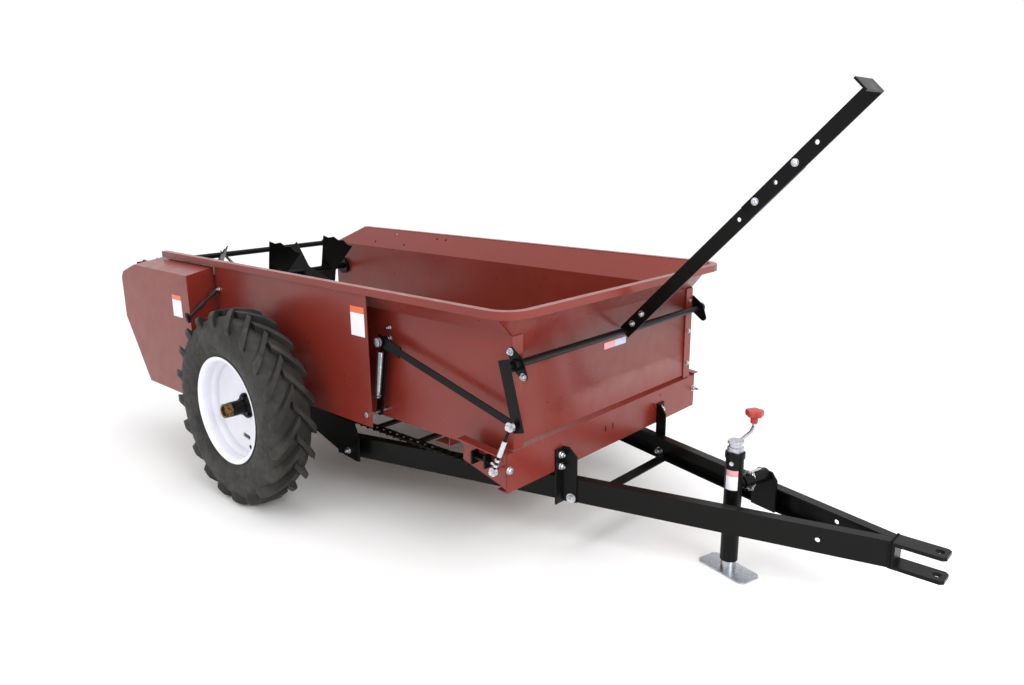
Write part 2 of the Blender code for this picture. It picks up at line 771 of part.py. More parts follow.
def tongue():
    for side, word in SIDES:
        tongue_rail(side, word)
        rail_bracket(side, word)
    bottom = RAIL_TOP_Z - RAIL_HEIGHT
    x = at_axle(BRACE_X)
    half = rail_y(BRACE_X) - 0.014
    lean = BRACE_WIDTH / 2 * -RAIL_HEADING.y / RAIL_HEADING.x
    brace = [
        (x - BRACE_WIDTH / 2, -half - lean),
        (x + BRACE_WIDTH / 2, -half + lean),
        (x + BRACE_WIDTH / 2, half - lean),
        (x - BRACE_WIDTH / 2, half + lean),
    ]
    low = bottom + RAIL_SHEET + GAP
    prism("tongue_brace", brace, "Z", low, low + RAIL_SHEET, BLACK)

    tip = at_axle(FRONT_REACH)
    block_x = at_axle(RAIL_FRONT) + GAP
    bevel = 0.010
    hitch = box(
        "hitch_clevis",
        (block_x, -HITCH_HALF_WIDTH, bottom),
        (block_x + HITCH_BLOCK_LENGTH, HITCH_HALF_WIDTH, RAIL_TOP_Z),
        BLACK,
    )
    plate = [
        (block_x + HITCH_BLOCK_LENGTH / 2, -HITCH_HALF_WIDTH),
        (tip - bevel, -HITCH_HALF_WIDTH),
        (tip, -HITCH_HALF_WIDTH + bevel),
        (tip, HITCH_HALF_WIDTH - bevel),
        (tip - bevel, HITCH_HALF_WIDTH),
        (block_x + HITCH_BLOCK_LENGTH / 2, HITCH_HALF_WIDTH),
    ]
    upper = prism("hitch_upper", plate, "Z", RAIL_TOP_Z - HITCH_PLATE, RAIL_TOP_Z, BLACK)
    lower = prism("hitch_lower", plate, "Z", bottom, bottom + HITCH_PLATE, BLACK)
    join(hitch, upper, lower)
    pin = (tip - HITCH_PIN_SETBACK, 0)
    drill(hitch, "Z", pin, HITCH_PIN_RADIUS, bottom - HITCH_PLATE, RAIL_TOP_Z + HITCH_PLATE)


# ---------------------------------------------------------------- shields and guards


def side_shield(side, word):
    """A flat sheet outside the wall, with a flange along its top turned in to the flare."""
    outer = SHIELD_Y
    inner = SHIELD_Y - SHEET
    flare_share = (SHIELD_TOP_Z - CREASE_Z) / (RIM_TOP_Z - CREASE_Z)
    flange_edge = BOX_HALF_WIDTH + FLARE_SIDE * flare_share + 2 * SHEET
    section = [
        (side * outer, SHIELD_BOTTOM_Z),
        (side * outer, SHIELD_TOP_Z),
        (side * flange_edge, SHIELD_TOP_Z),
        (side * flange_edge, SHIELD_TOP_Z - SHEET),
        (side * inner, SHIELD_TOP_Z - SHEET),
        (side * inner, SHIELD_BOTTOM_Z),
    ]
    made = prism(f"side_shield_{word}", section, "X", at_axle(-SHIELD_REAR), at_axle(SHIELD_FRONT), RED)
    low, high = sorted((side * (inner - 0.020), side * (outer + 0.020)))
    drill(made, "Y", (at_axle(0), TYRE_RADIUS), AXLE_RADIUS + 0.004, low, high, 32)
    if side == RIGHT:
        foot = (at_axle(RELAY_FOOT[0]), RELAY_FOOT[1])
        drill(made, "Y", foot, PIN_RADIUS + GAP, low, high)


def lean_guard(made, origin):
    """Raises the guard's top towards the machine and leans its front face back on the way in."""
    front = at_axle(-GUARD_FRONT - 2 * SHEET)
    for vertex in made.data.vertices:
        x, y, z = vertex.co + Vector(origin)
        inward = (GUARD_Y - abs(y)) / (GUARD_Y - SHIELD_Y)
        if z > GUARD_TOP_Z - 2 * SHEET:
            vertex.co.z += GUARD_TOP_RISE * inward
        elif z > GUARD_TOP_Z - 0.100:
            vertex.co.z += GUARD_TOP_RISE * inward / 2
        if x > front:
            vertex.co.x -= GUARD_FRONT_SLANT * inward


def drive_guard(side, word):
    """A sheet box over the drive, open to the machine, on a rear hinge."""
    rear = at_axle(-GUARD_HINGE)
    front = at_axle(-GUARD_FRONT)
    outline = [
        (front, GUARD_TOP_Z),
        (at_axle(-0.968), GUARD_TOP_Z),
        (at_axle(-1.098), 0.845),
        (rear, 0.815),
        (rear, 0.620),
        (at_axle(-0.931), GUARD_BOTTOM_Z),
        (front, GUARD_BOTTOM_Z),
    ]
    inner_y = SHIELD_Y + GAP
    hinge = (rear, side * inner_y, (GUARD_TOP_Z + GUARD_BOTTOM_Z) / 2)
    low, high = sorted((side * inner_y, side * GUARD_Y))
    made = prism(f"drive_guard_{word}", outline, "Y", low, high, RED, hinge)
    lean_guard(made, hinge)
    middle = Vector((sum(x for x, _ in outline), sum(z for _, z in outline))) / len(outline)
    hollow = []
    count = len(outline)
    for i in range(count):
        before, here, after = (Vector(outline[j % count]) for j in (i - 1, i, i + 1))
        first = (here - before).normalized()
        second = (after - here).normalized()
        normal_first = Vector((-first.y, first.x))
        if normal_first.dot(middle - here) < 0:
            normal_first = -normal_first
        normal_second = Vector((-second.y, second.x))
        if normal_second.dot(middle - here) < 0:
            normal_second = -normal_second
        bisector = (normal_first + normal_second).normalized()
        point = here + bisector * SHEET / bisector.dot(normal_first)
        hollow.append((point.x, point.y))
    low, high = sorted((side * (inner_y - 0.050), side * (GUARD_Y - SHEET)))
    cutter = prism(f"drive_guard_{word}_hollow", hollow, "Y", low, high, RED)
    lean_guard(cutter, (0, 0, 0))
    combine(made, cutter, "DIFFERENCE")

    bolt = (at_axle(-SHIELD_REAR), 0.812)
    strap = [
        (front + GAP, inner_y + 0.006),
        (front + 0.012, inner_y + 0.006),
        (front + 0.012, GUARD_Y + 0.010),
        (front + GAP - 0.014, GUARD_Y + 0.010),
        (front + GAP - 0.014, GUARD_Y + GAP),
        (front + GAP, GUARD_Y + GAP),
    ]
    latch = prism(
        f"guard_latch_{word}", mirrored(strap, side), "Z", bolt[1] - 0.100, bolt[1], LATCH, hinge
    )
    slope = prism(
        f"guard_latch_{word}_slope",
        [
            (side * (inner_y - 0.010), bolt[1] - 0.018),
            (side * (inner_y - 0.010), bolt[1] - 0.200),
            (side * (GUARD_Y + 0.050), bolt[1] - 0.200),
            (side * (GUARD_Y + 0.050), bolt[1] - 0.102),
        ],
        "X",
        front - 0.050,
        front + 0.050,
        LATCH,
    )
    combine(latch, slope, "DIFFERENCE")
    top_slope = prism(
        f"guard_latch_{word}_top",
        [
            (side * (inner_y - 0.010), bolt[1] + 0.002),
            (side * (inner_y - 0.010), bolt[1] + 0.100),
            (side * (GUARD_Y + 0.050), bolt[1] + 0.100),
            (side * (GUARD_Y + 0.050), bolt[1] - 0.082),
        ],
        "X",
        front - 0.050,
        front + 0.050,
        LATCH,
    )
    combine(latch, top_slope, "DIFFERENCE")


# ---------------------------------------------------------------- beaters


def paddle(name, centre, y, turn, pitch):
    """A double-ended flat paddle with a toothed fan at each end.

    It points up and forward by turn, and is turned about its own length by pitch.
    """
    half_hub = PADDLE_HUB_WIDTH / 2
    points = 7
    outline = []
    for end in (0, pi):
        outline.append((half_hub * cos(end - pi / 2), half_hub * sin(end - pi / 2)))
        for i in range(points):
            bearing = end + PADDLE_SPREAD * (i / (points - 1) - 0.5)
            radius = PADDLE_RADIUS * (0.94 if i % 2 else 1.0)
            outline.append((radius * cos(bearing), radius * sin(bearing)))
    made = prism(name, outline, "Y", -PADDLE_SHEET / 2, PADDLE_SHEET / 2, BLACK)
    twist = Matrix.Rotation(pitch, 4, "X")
    spin = Matrix.Rotation(turn - pi / 2, 4, "Y")
    made.data.transform(Matrix.Translation((centre[0], y, centre[1])) @ spin @ twist)
    return made


def beaters():
    axis = (at_axle(BEATER_X), BEATER_Z)
    tube = (at_axle(TUBE_X), TUBE_Z)
    half = BOX_HALF_WIDTH + 0.058
    beater = prism(
        "main_beater", circle(axis, BEATER_SHAFT_RADIUS), "Y", -half, half, BLACK, (axis[0], 0, axis[1])
    )
    # Neighbouring paddles stand at right angles, and each half of the beater throws outwards.
    for i, y in enumerate((0.440, 0.260, 0.080, -0.110, -0.300, -0.470)):
        turn = (-60 if i % 2 else 33) * pi / 180
        pitch = PADDLE_PITCH if y > 0 else -PADDLE_PITCH
        join(beater, paddle(f"paddle_{i + 1}", axis, y, turn, pitch))

    half = BOX_HALF_WIDTH + 0.040
    prism("rear_cross_tube", circle(tube, TUBE_RADIUS), "Y", -half, half, BLACK)
    for side, word in SIDES:
        wall = side * (BOX_HALF_WIDTH - SHEET)
        cut = sorted((wall - side * 0.050, wall + side * 0.120))
        near = sorted((wall - side * GAP, wall - side * 0.020))
        bearing = prism(f"beater_bearing_{word}", circle(axis, 0.047, 20), "Y", *near, BLACK)
        drill(bearing, "Y", axis, BEATER_SHAFT_RADIUS + RUNNING_GAP, *cut)
        foot = (at_axle(-1.150), 0.790)
        outside = side * (BOX_HALF_WIDTH + 0.001)
        levels = sorted((outside, outside + side * 0.006))
        outline = round_bar_outline(foot, tube, 2 * TUBE_EYE_RADIUS)
        bracket = prism(f"cross_tube_bracket_{word}", outline, "Y", *levels, RED)
        drill(bracket, "Y", tube, TUBE_RADIUS + GAP, *cut)


# ---------------------------------------------------------------- apron


def apron():
    """The two chains and the slats across them: two straight runs and two bends, all one fixed loop."""
    radius = (CHAIN_TOP_Z - CHAIN_BOTTOM_Z) / 2
    inside = radius - CHAIN_THICKNESS
    front = at_axle(APRON_FRONT) - radius
    rear = at_axle(DRIVE_X)
    front_centre = (front, APRON_MIDDLE_Z)
    rear_centre = (rear, APRON_MIDDLE_Z)
    lanes = []
    for side, word in SIDES:
        inner, outer = side * (CHAIN_Y - CHAIN_WIDTH / 2), side * (CHAIN_Y + CHAIN_WIDTH / 2)
        lanes.append((word, *sorted((inner, outer))))

    for level, bottom in (("upper", CHAIN_TOP_Z - CHAIN_THICKNESS), ("lower", CHAIN_BOTTOM_Z)):
        top = bottom + CHAIN_THICKNESS
        pieces = []
        for word, low, high in lanes:
            ends = (rear + GAP, low, bottom), (front - GAP, high, top)
            pieces.append(box(f"apron_{level}_chain_{word}", *ends, BLACK))
        for i in range(int((front - rear) / SLAT_SPACING)):
            x = rear + SLAT_SPACING * (i + 0.5)
            low = (x - SLAT_WIDTH / 2, -CHAIN_Y, bottom + 0.001)
            high = (x + SLAT_WIDTH / 2, CHAIN_Y, top - 0.001)
            pieces.append(box(f"apron_{level}_slat_{i + 1}", low, high, BLACK))
        run = join(*pieces)
        run.name = f"apron_{level}_run"

    for end, centre, facing in (("front", front_centre, 1), ("rear", rear_centre, -1)):
        turn = 0 if facing > 0 else 180
        ring = arc(centre, radius, turn + 90, turn - 90, 10) + arc(centre, inside, turn - 90, turn + 90, 10)
        pieces = [prism(f"apron_{end}_chain_{word}", ring, "Y", low, high, BLACK) for word, low, high in lanes]
        near, far = sorted((centre[0] + facing * (inside + 0.001), centre[0] + facing * (radius - 0.001)))
        low = (near, -CHAIN_Y, APRON_MIDDLE_Z - SLAT_WIDTH / 2)
        high = (far, CHAIN_Y, APRON_MIDDLE_Z + SLAT_WIDTH / 2)
        bend = join(*pieces, box(f"apron_{end}_slat", low, high, BLACK))
        bend.name = f"apron_{end}_bend"

    sprocket = inside - 2 * GAP
    ends = (
        ("apron_idler", front_centre, BEAM_HALF_WIDTH),
        ("apron_drive_shaft", rear_centre, BOX_HALF_WIDTH + 0.075),
    )
    for name, centre, half in ends:
        shaft = prism(name, circle(centre, APRON_SHAFT_RADIUS), "Y", -half, half, BLACK)
        for side, word in SIDES:
            low, high = sorted((side * (CHAIN_Y - 0.012), side * (CHAIN_Y + 0.012)))
            join(shaft, prism(f"{name}_wheel_{word}", circle(centre, sprocket, 20), "Y", low, high, BLACK))


# ---------------------------------------------------------------- controls


def controls():
    shaft = (at_axle(SHAFT_X), SHAFT_Z)
    pivot = (shaft[0], 0, shaft[1])
    arm_pin = (at_axle(ARM_PIN[0]), ARM_PIN[1])
    spring_pin = (at_axle(SPRING_PIN[0]), SPRING_PIN[1])
    arm_inner = ARM_Y + ARM_THICKNESS

    rockshaft = prism(
        "rockshaft",
        circle(shaft, SHAFT_RADIUS),
        "Y",
        ARM_Y + ARM_THICKNESS / 2,
        SHAFT_HALF_LENGTH,
        BLACK,
        pivot,
    )
    arm_outline = bar_outline(shaft, arm_pin, ARM_WIDTH, 0.026, 0.011)
    arm = prism("rockshaft_arm", arm_outline, "Y", ARM_Y, arm_inner, BLACK)
    link_pin = prism(
        "rockshaft_link_pin", circle(arm_pin, PIN_RADIUS), "Y", ARM_Y + 0.002, LINK_Y + 0.010, BLACK
    )
    eye_pin = prism("rockshaft_spring_pin", circle(spring_pin, PIN_RADIUS), "Y", -0.666, arm_inner - 0.002, BLACK)
    join(rockshaft, arm, link_pin, eye_pin)

    # The lever is two flat bars bolted face to face, with the upper one's end bent over as a grip.
    outer = LEVER_Y - LEVER_THICKNESS
    face = outer - LEVER_THICKNESS
    splice_start, splice_end = LEVER_SPLICE
    steps = [
        (-LEVER_HEEL, outer),
        (-LEVER_HEEL, LEVER_Y),
        (splice_end, LEVER_Y),
        (splice_end, outer),
        (LEVER_LENGTH, outer),
        (LEVER_LENGTH, face - LEVER_GRIP),
        (LEVER_LENGTH - LEVER_THICKNESS, face - LEVER_GRIP),
        (LEVER_LENGTH - LEVER_THICKNESS, face),
        (splice_start, face),
        (splice_start, outer),
    ]
    build = bmesh.new()
    add_prism(build, steps, "Z", -LEVER_WIDTH / 2, LEVER_WIDTH / 2)
    lever_mesh = mesh_of(build, "control_lever")
    lever_mesh.transform(Matrix.Translation(pivot) @ Matrix.Rotation(-LEVER_ANGLE, 4, "Y"))
    lever = add_object("control_lever", lever_mesh, BLACK, pivot)
    drill(lever, "Y", shaft, SHAFT_RADIUS + GAP, LEVER_Y - 0.050, LEVER_Y + 0.050)

    # Bearings: a two-bolt flange outside each side wall, with a boss round the shaft.
    bolt = Vector(BEARING_BOLT)
    corners = circle(shaft, 0.028, 24) + circle(Vector(shaft) + bolt, 0.014, 16)
    corners += circle(Vector(shaft) - bolt, 0.014, 16)
    flange = [corners[i] for i in convex_hull_2d([Vector(corner) for corner in corners])]
    for side, word in SIDES:
        near = side * (BOX_HALF_WIDTH + 0.001)
        levels = sorted((near, near + side * 0.006))
        bearing = prism(f"rockshaft_bearing_{word}", flange, "Y", *levels, BLACK)
        levels = sorted((near + side * 0.001, side * BEARING_BOSS_Y))
        join(bearing, prism(f"rockshaft_boss_{word}", circle(shaft, 0.020), "Y", *levels, BLACK))
        levels = sorted((near - side * 0.020, side * BEARING_BOSS_Y + side * 0.020))
        drill(bearing, "Y", shaft, SHAFT_RADIUS + RUNNING_GAP, *levels)

    relay_foot = (at_axle(RELAY_FOOT[0]), RELAY_FOOT[1])
    relay_top = (at_axle(RELAY_TOP[0]), RELAY_TOP[1])
    relay_hinge = (relay_foot[0], RELAY_Y, relay_foot[1])
    relay = prism(
        "relay_arm",
        round_bar_outline(relay_foot, relay_top, 0.032),
        "Y",
        RELAY_Y,
        RELAY_Y + 0.008,
        BLACK,
        relay_hinge,
    )
    relay_pin = prism("relay_pin", circle(relay_top, PIN_RADIUS), "Y", LINK_Y - 0.010, RELAY_Y + 0.004, BLACK)
    join(relay, relay_pin)
    low, high = RELAY_Y - 0.020, RELAY_Y + 0.020
    drill(relay, "Y", relay_foot, PIN_RADIUS + RUNNING_GAP, low, high)
    prism(
        "relay_pivot_bolt",
        circle(relay_foot, PIN_RADIUS),
        "Y",
        -SHIELD_Y - 0.010,
        -BOX_HALF_WIDTH - GAP,
        ZINC,
    )

    link_front = round_bar_outline(arm_pin, relay_top, 0.026)
    link_pivot = (arm_pin[0], LINK_Y, arm_pin[1])
    link = prism("clutch_link", link_front, "Y", LINK_Y, LINK_Y + LINK_THICKNESS, BLACK, link_pivot)
    heading = (Vector(relay_top) - Vector(arm_pin)).normalized()
    wide_start = Vector(relay_top) - heading * 0.105
    wide_end = Vector(relay_top) + heading * 0.020
    wide = prism(
        "clutch_link_plate",
        bar_outline(tuple(wide_start), tuple(wide_end), 0.042),
        "Y",
        LINK_Y,
        LINK_Y + LINK_THICKNESS,
        BLACK,
    )
    join(link, wide)
    drill(link, "Y", arm_pin, PIN_RADIUS + RUNNING_GAP, LINK_Y - 0.02, LINK_Y + 0.02)
    slot_first = Vector(relay_top) - heading * LINK_SLOT
    slot_last = Vector(relay_top) + heading * LINK_SLOT
    slot = prism(
        "clutch_link_slot",
        round_bar_outline(tuple(slot_first), tuple(slot_last), 2 * (PIN_RADIUS + LINK_PLAY)),
        "Y",
        LINK_Y - 0.02,
        LINK_Y + 0.02,
        BLACK,
    )
    combine(link, slot, "DIFFERENCE")

    relay_line = (Vector(relay_top) - Vector(relay_foot)).normalized()
    spring_top = Vector(relay_top) - relay_line * 0.030
    spring_low = Vector(relay_foot) + relay_line * 0.070
    prism(
        "relay_spring",
        bar_outline(tuple(spring_low), tuple(spring_top), 0.020),
        "Y",
        RELAY_Y - 0.0165,
        RELAY_Y - GAP,
        ZINC,
        relay_hinge,
    )

    foot = (at_axle(SPRING_FOOT[0]), SPRING_FOOT[1])
    hold = prism(
        "holding_spring",
        round_bar_outline(foot, spring_pin, HOLD_WIDTH),
        "Y",
        -0.660,
        -0.648,
        ZINC,
        (foot[0], -0.654, foot[1]),
    )
    drill(hold, "Y", foot, PIN_RADIUS + RUNNING_GAP, -0.700, -0.600)
    reach = (Vector(foot) - Vector(spring_pin)).normalized() * HOLD_SLOT
    slot_end = (spring_pin[0] + reach.x, spring_pin[1] + reach.y)
    slot = prism(
        "holding_spring_slot",
        round_bar_outline(spring_pin, slot_end, 2 * (PIN_RADIUS + HOLD_PLAY)),
        "Y",
        -0.700,
        -0.600,
        ZINC,
    )
    combine(hold, slot, "DIFFERENCE")


# ---------------------------------------------------------------- jack


def along_rail(made, x, y):
    """Turns a piece of the jack about the jack's own upright line, to lie along the left rail."""
    made.data.transform(
        Matrix.Translation(-made.location)
        @ Matrix.Translation((x, y, 0))
        @ Matrix.Rotation(atan2(RAIL_HEADING.y, RAIL_HEADING.x), 4, "Z")
        @ Matrix.Translation((-x, -y, 0))
        @ Matrix.Translation(made.location)
    )
    return made


def jack():
    x, y = at_axle(JACK_X), JACK_Y
    pivot = (x, y, JACK_PIVOT_Z)
    inside = JACK_LEG_RADIUS + RUNNING_GAP
    shell_profile = [
        (JACK_RADIUS, JACK_SHELL_TOP_Z),
        (JACK_RADIUS, JACK_SHELL_BOTTOM_Z),
        (inside, JACK_SHELL_BOTTOM_Z),
        (inside, JACK_SHELL_TOP_Z),
    ]
    tube = turned("jack_tube", shell_profile, "Z", (x, y), BLACK, 32, pivot)
    stub_outer = y + JACK_RADIUS + 0.028
    stub = prism(
        "jack_stub", circle((x, JACK_PIVOT_Z), 0.020), "Y", y + inside + 0.001, stub_outer, BLACK
    )
    join(tube, along_rail(stub, x, y))

    head_bottom = JACK_SHELL_TOP_Z + GAP
    turned(
        "jack_head",
        [
            (0.0, JACK_HEAD_TOP_Z),
            (0.024, JACK_HEAD_TOP_Z),
            (0.026, head_bottom + 0.010),
            (0.028, head_bottom),
            (0.0, head_bottom),
        ],
        "Z",
        (x, y),
        ZINC,
        32,
        pivot,
    )
    crank_z = JACK_HEAD_TOP_Z + GAP + CRANK_RADIUS
    crank = prism(
        "jack_crank",
        circle((x, crank_z), CRANK_RADIUS, 12),
        "Y",
        y - 0.010,
        y + CRANK_REACH + CRANK_RADIUS,
        ZINC,
        pivot,
    )
    stem = prism(
        "crank_stem",
        circle((x, y + CRANK_REACH), CRANK_RADIUS, 12),
        "Z",
        crank_z - CRANK_RADIUS / 2,
        KNOB_TOP_Z - 0.020,
        ZINC,
    )
    join(crank, stem)
    knob_bore = CRANK_RADIUS + GAP
    knob_bottom = crank_z + 0.018
    turned(
        "crank_knob",
        [
            (0.0, KNOB_TOP_Z),
            (0.020, KNOB_TOP_Z - 0.001),
            (0.031, KNOB_TOP_Z - 0.010),
            (0.033, KNOB_TOP_Z - 0.022),
            (0.024, KNOB_TOP_Z - 0.034),
            (0.015, KNOB_TOP_Z - 0.042),
            (0.013, knob_bottom),
            (knob_bore, knob_bottom),
            (knob_bore, KNOB_TOP_Z - 0.020 + GAP),
            (0.0, KNOB_TOP_Z - 0.020 + GAP),
        ],
        "Z",
        (x, y + CRANK_REACH),
        PLASTIC,
        24,
        pivot,
    )

    leg_origin = (x, y, FOOT_THICKNESS)
    leg = prism(
        "jack_leg",
        circle((x, y), JACK_LEG_RADIUS, 32),
        "Z",
        FOOT_THICKNESS / 2,
        JACK_SHELL_TOP_Z - 0.020,
        ZINC,
        leg_origin,
    )
    bevel = 0.014
    half_x, half_y = FOOT_LENGTH / 2, FOOT_WIDTH / 2
    outline = [
        (x - half_x + bevel, y - half_y),
        (x + half_x - bevel, y - half_y),
        (x + half_x, y - half_y + bevel),
        (x + half_x, y + half_y - bevel),
        (x + half_x - bevel, y + half_y),
        (x - half_x + bevel, y + half_y),
        (x - half_x, y + half_y - bevel),
        (x - half_x, y - half_y + bevel),
    ]
    plate = prism("foot_plate", outline, "Z", 0.0, FOOT_THICKNESS, ZINC)
    join(leg, along_rail(plate, x, y))

    # The bracket stands on the left rail's flanges and holds the tube's stub. Before it is turned
    # it lies straight ahead, as far from the jack as the rail's flanges are.
    rail_side = Vector((-RAIL_HEADING.y, RAIL_HEADING.x))
    from_jack = Vector((RAIL_REAR - JACK_X, RAIL_REAR_Y - JACK_Y))
    plate_outer = y + rail_side.dot(from_jack) - RAIL_FLANGE - 0.001
    plate_inner = plate_outer - 0.008
    bottom = RAIL_TOP_Z - RAIL_HEIGHT
    outline = [
        (x - 0.050, bottom),
        (x + 0.052, bottom),
        (x + 0.052, JACK_PIVOT_Z - 0.008),
        (x + 0.028, JACK_PIVOT_Z + 0.018),
        (x - 0.028, JACK_PIVOT_Z + 0.018),
        (x - 0.050, JACK_PIVOT_Z - 0.004),
    ]
    bracket = prism("jack_bracket", outline, "Y", plate_inner, plate_outer, BLACK)
    collar = turned(
        "jack_bracket_collar",
        [
            (0.025, stub_outer - 0.018),
            (0.025, plate_inner + 0.004),
            (0.020 + RUNNING_GAP, plate_inner + 0.004),
            (0.020 + RUNNING_GAP, stub_outer - 0.018),
        ],
        "Y",
        (x, JACK_PIVOT_Z),
        BLACK,
        24,
    )
    join(along_rail(bracket, x, y), along_rail(collar, x, y))


# ---------------------------------------------------------------- build

for machine_side, side_word in SIDES:
    side_panel(machine_side, side_word)
    wheel(machine_side, side_word)
    side_frame(machine_side, side_word)
    side_shield(machine_side, side_word)
    drive_guard(machine_side, side_word)
front_panel()
rim_rail()
floor_and_supports()
front_beam()
axle()
tongue()
beaters()
apron()
controls()
jack()
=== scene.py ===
# %% [markdown]
# # A two-wheel manure spreader
#
# The engineering model already holds every panel, bar and pin of this machine at its true size.
# This lesson turns it into something you can believe in: folded steel under red powder coat,
# a cleated farm tyre, zinc bolts, a coiled spring and a chain that could be unhooked.
# We work in metres, with +X towards the hitch, +Y to the machine's left and +Z up.

import json
from math import cos, pi, radians, sin

import bmesh
import bpy
from mathutils import Matrix, Vector


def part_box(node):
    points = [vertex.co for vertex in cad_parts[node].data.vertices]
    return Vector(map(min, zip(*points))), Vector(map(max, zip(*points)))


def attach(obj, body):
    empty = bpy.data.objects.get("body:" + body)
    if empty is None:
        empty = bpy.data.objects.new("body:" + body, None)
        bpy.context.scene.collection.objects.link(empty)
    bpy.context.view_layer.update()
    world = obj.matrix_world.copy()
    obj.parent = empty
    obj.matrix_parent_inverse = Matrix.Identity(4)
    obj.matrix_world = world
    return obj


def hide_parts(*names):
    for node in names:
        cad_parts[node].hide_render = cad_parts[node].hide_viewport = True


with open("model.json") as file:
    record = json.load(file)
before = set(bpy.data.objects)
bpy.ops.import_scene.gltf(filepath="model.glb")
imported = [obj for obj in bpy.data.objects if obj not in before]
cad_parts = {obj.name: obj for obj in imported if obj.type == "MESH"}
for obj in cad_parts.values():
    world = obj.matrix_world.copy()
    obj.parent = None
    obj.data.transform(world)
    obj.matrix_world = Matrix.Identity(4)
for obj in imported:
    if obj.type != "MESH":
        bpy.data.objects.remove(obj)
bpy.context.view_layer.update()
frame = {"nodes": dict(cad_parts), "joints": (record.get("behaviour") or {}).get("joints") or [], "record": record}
body_of_node = {
    node: body for body, nodes in frame["record"]["behaviour"]["bodies"].items() for node in nodes
}

# %% [markdown]
# Most sizes on a trailer are measured forward from its axle, because that is how it is built:
# the axle goes on first and everything else is set out from it. One small helper turns such a
# length into a place in the scene.

# %% Measure from the axle
joint_at = {joint["name"]: Vector(joint.get("pos_m", (0, 0, 0))) for joint in frame["joints"]}
AXLE_X = joint_at["wheel_right"].x
AXLE_Z = joint_at["wheel_right"].z
SIDES = ((-1, "right"), (1, "left"))


def at(x, y, z):
    return Vector((AXLE_X + x, y, z))


print("axle at", round(AXLE_X, 3), "m, height", AXLE_Z)

# %% [markdown]
# ## The view
#
# A camera is easiest to reproduce from angles: how far round the machine it stands, how high it
# looks down from, and a slight roll. The white world works as a studio cyclorama, which lights
# everything evenly. Three wide lamps add some shape: the strongest stands before the front panel,
# a weaker one hangs overhead, and the faintest is over the machine's right side.

# %% Camera, lamp and floor
CAMERA_ROUND, CAMERA_DOWN, CAMERA_ROLL = radians(42.217), radians(14.245), radians(-0.520)
CAMERA_PLACE = at(2.8923, -2.3821, 1.4460)
LENS_MM = 28.01


def upright_frame(back):
    """Two directions across a view that looks along -back: right and up."""
    right = (-back).cross(Vector((0, 0, 1))).normalized()
    return right, right.cross(-back)


back = Vector(
    (sin(CAMERA_ROUND) * cos(CAMERA_DOWN), -cos(CAMERA_ROUND) * cos(CAMERA_DOWN), sin(CAMERA_DOWN))
)
level_right, level_up = upright_frame(back)
rolled_right = level_right * cos(CAMERA_ROLL) + level_up * sin(CAMERA_ROLL)
rolled_up = level_up * cos(CAMERA_ROLL) - level_right * sin(CAMERA_ROLL)
camera = bpy.data.objects.new("camera", bpy.data.cameras.new("camera"))
camera.data.lens = LENS_MM
camera.data.sensor_width = 36
camera.matrix_world = Matrix((rolled_right, rolled_up, back)).transposed().to_4x4()
camera.matrix_world.translation = CAMERA_PLACE
bpy.context.scene.collection.objects.link(camera)
bpy.context.scene.camera = camera
bpy.context.scene.view_settings.view_transform = "Standard"


def soft_lamp(name, place, target, size, watts):
    lamp = bpy.data.objects.new(name, bpy.data.lights.new(name, "AREA"))
    lamp.data.shape = "DISK"
    lamp.data.size = size
    lamp.data.energy = watts
    lamp.location = place
    lamp.rotation_euler = (target - place).to_track_quat("-Z", "Y").to_euler()
    bpy.context.scene.collection.objects.link(lamp)
    return lamp


soft_lamp("lamp_over_right_side", Vector((-0.6, -4.2, 3.6)), Vector((0, -0.3, 0.5)), 2.6, 22)
soft_lamp("lamp_before_front", Vector((4.4, -1.4, 2.8)), Vector((0.4, -0.2, 0.6)), 2.4, 105)
soft_lamp("lamp_overhead", Vector((0.4, 0.4, 4.6)), Vector((0, 0, 0.4)), 3.0, 55)

WORLD_STRENGTH = 1.07
world = bpy.data.worlds.new("white_cyclorama")
world.use_nodes = True
sky = world.node_tree.nodes["Background"]
sky.inputs["Color"].default_value = (1, 1, 1, 1)
sky.inputs["Strength"].default_value = WORLD_STRENGTH
bpy.context.scene.world = world

# %% [markdown]
# ## Finishes
#
# Colours are chosen as they look on a screen, so one function turns such a hex colour into the
# linear light that a shader works with. A second adds a shader node with its settings and links,
# which keeps each material to a few readable lines.


# %% Colour and node helpers
def paint_colour(hex_text):
    linear = []
    for i in (0, 2, 4):
        channel = int(hex_text[i : i + 2], 16) / 255
        linear.append(channel / 12.92 if channel <= 0.04045 else ((channel + 0.055) / 1.055) ** 2.4)
    return (*linear, 1.0)


def add(tree, kind, inputs=None, **settings):
    node = tree.nodes.new(kind)
    for name, value in settings.items():
        setattr(node, name, value)
    for socket, value in (inputs or {}).items():
        if isinstance(value, bpy.types.NodeSocket):
            tree.links.new(value, node.inputs[socket])
        else:
            node.inputs[socket].default_value = value
    return node


def per_metre(millimetres):
    """Pattern scale for a feature of that size, since the coordinates are in metres."""
    return 1000 / millimetres


COAT_ROUGHNESS = 0.12
COORDINATES, NOISE, CELLS = "ShaderNodeTexCoord", "ShaderNodeTexNoise", "ShaderNodeTexVoronoi"
RANGE, MIX, BUMP = "ShaderNodeMapRange", "ShaderNodeMix", "ShaderNodeBump"
BLOTCH = {"From Min": 0.3, "From Max": 0.7}  # the middle of a noise, where nearly all of it lies


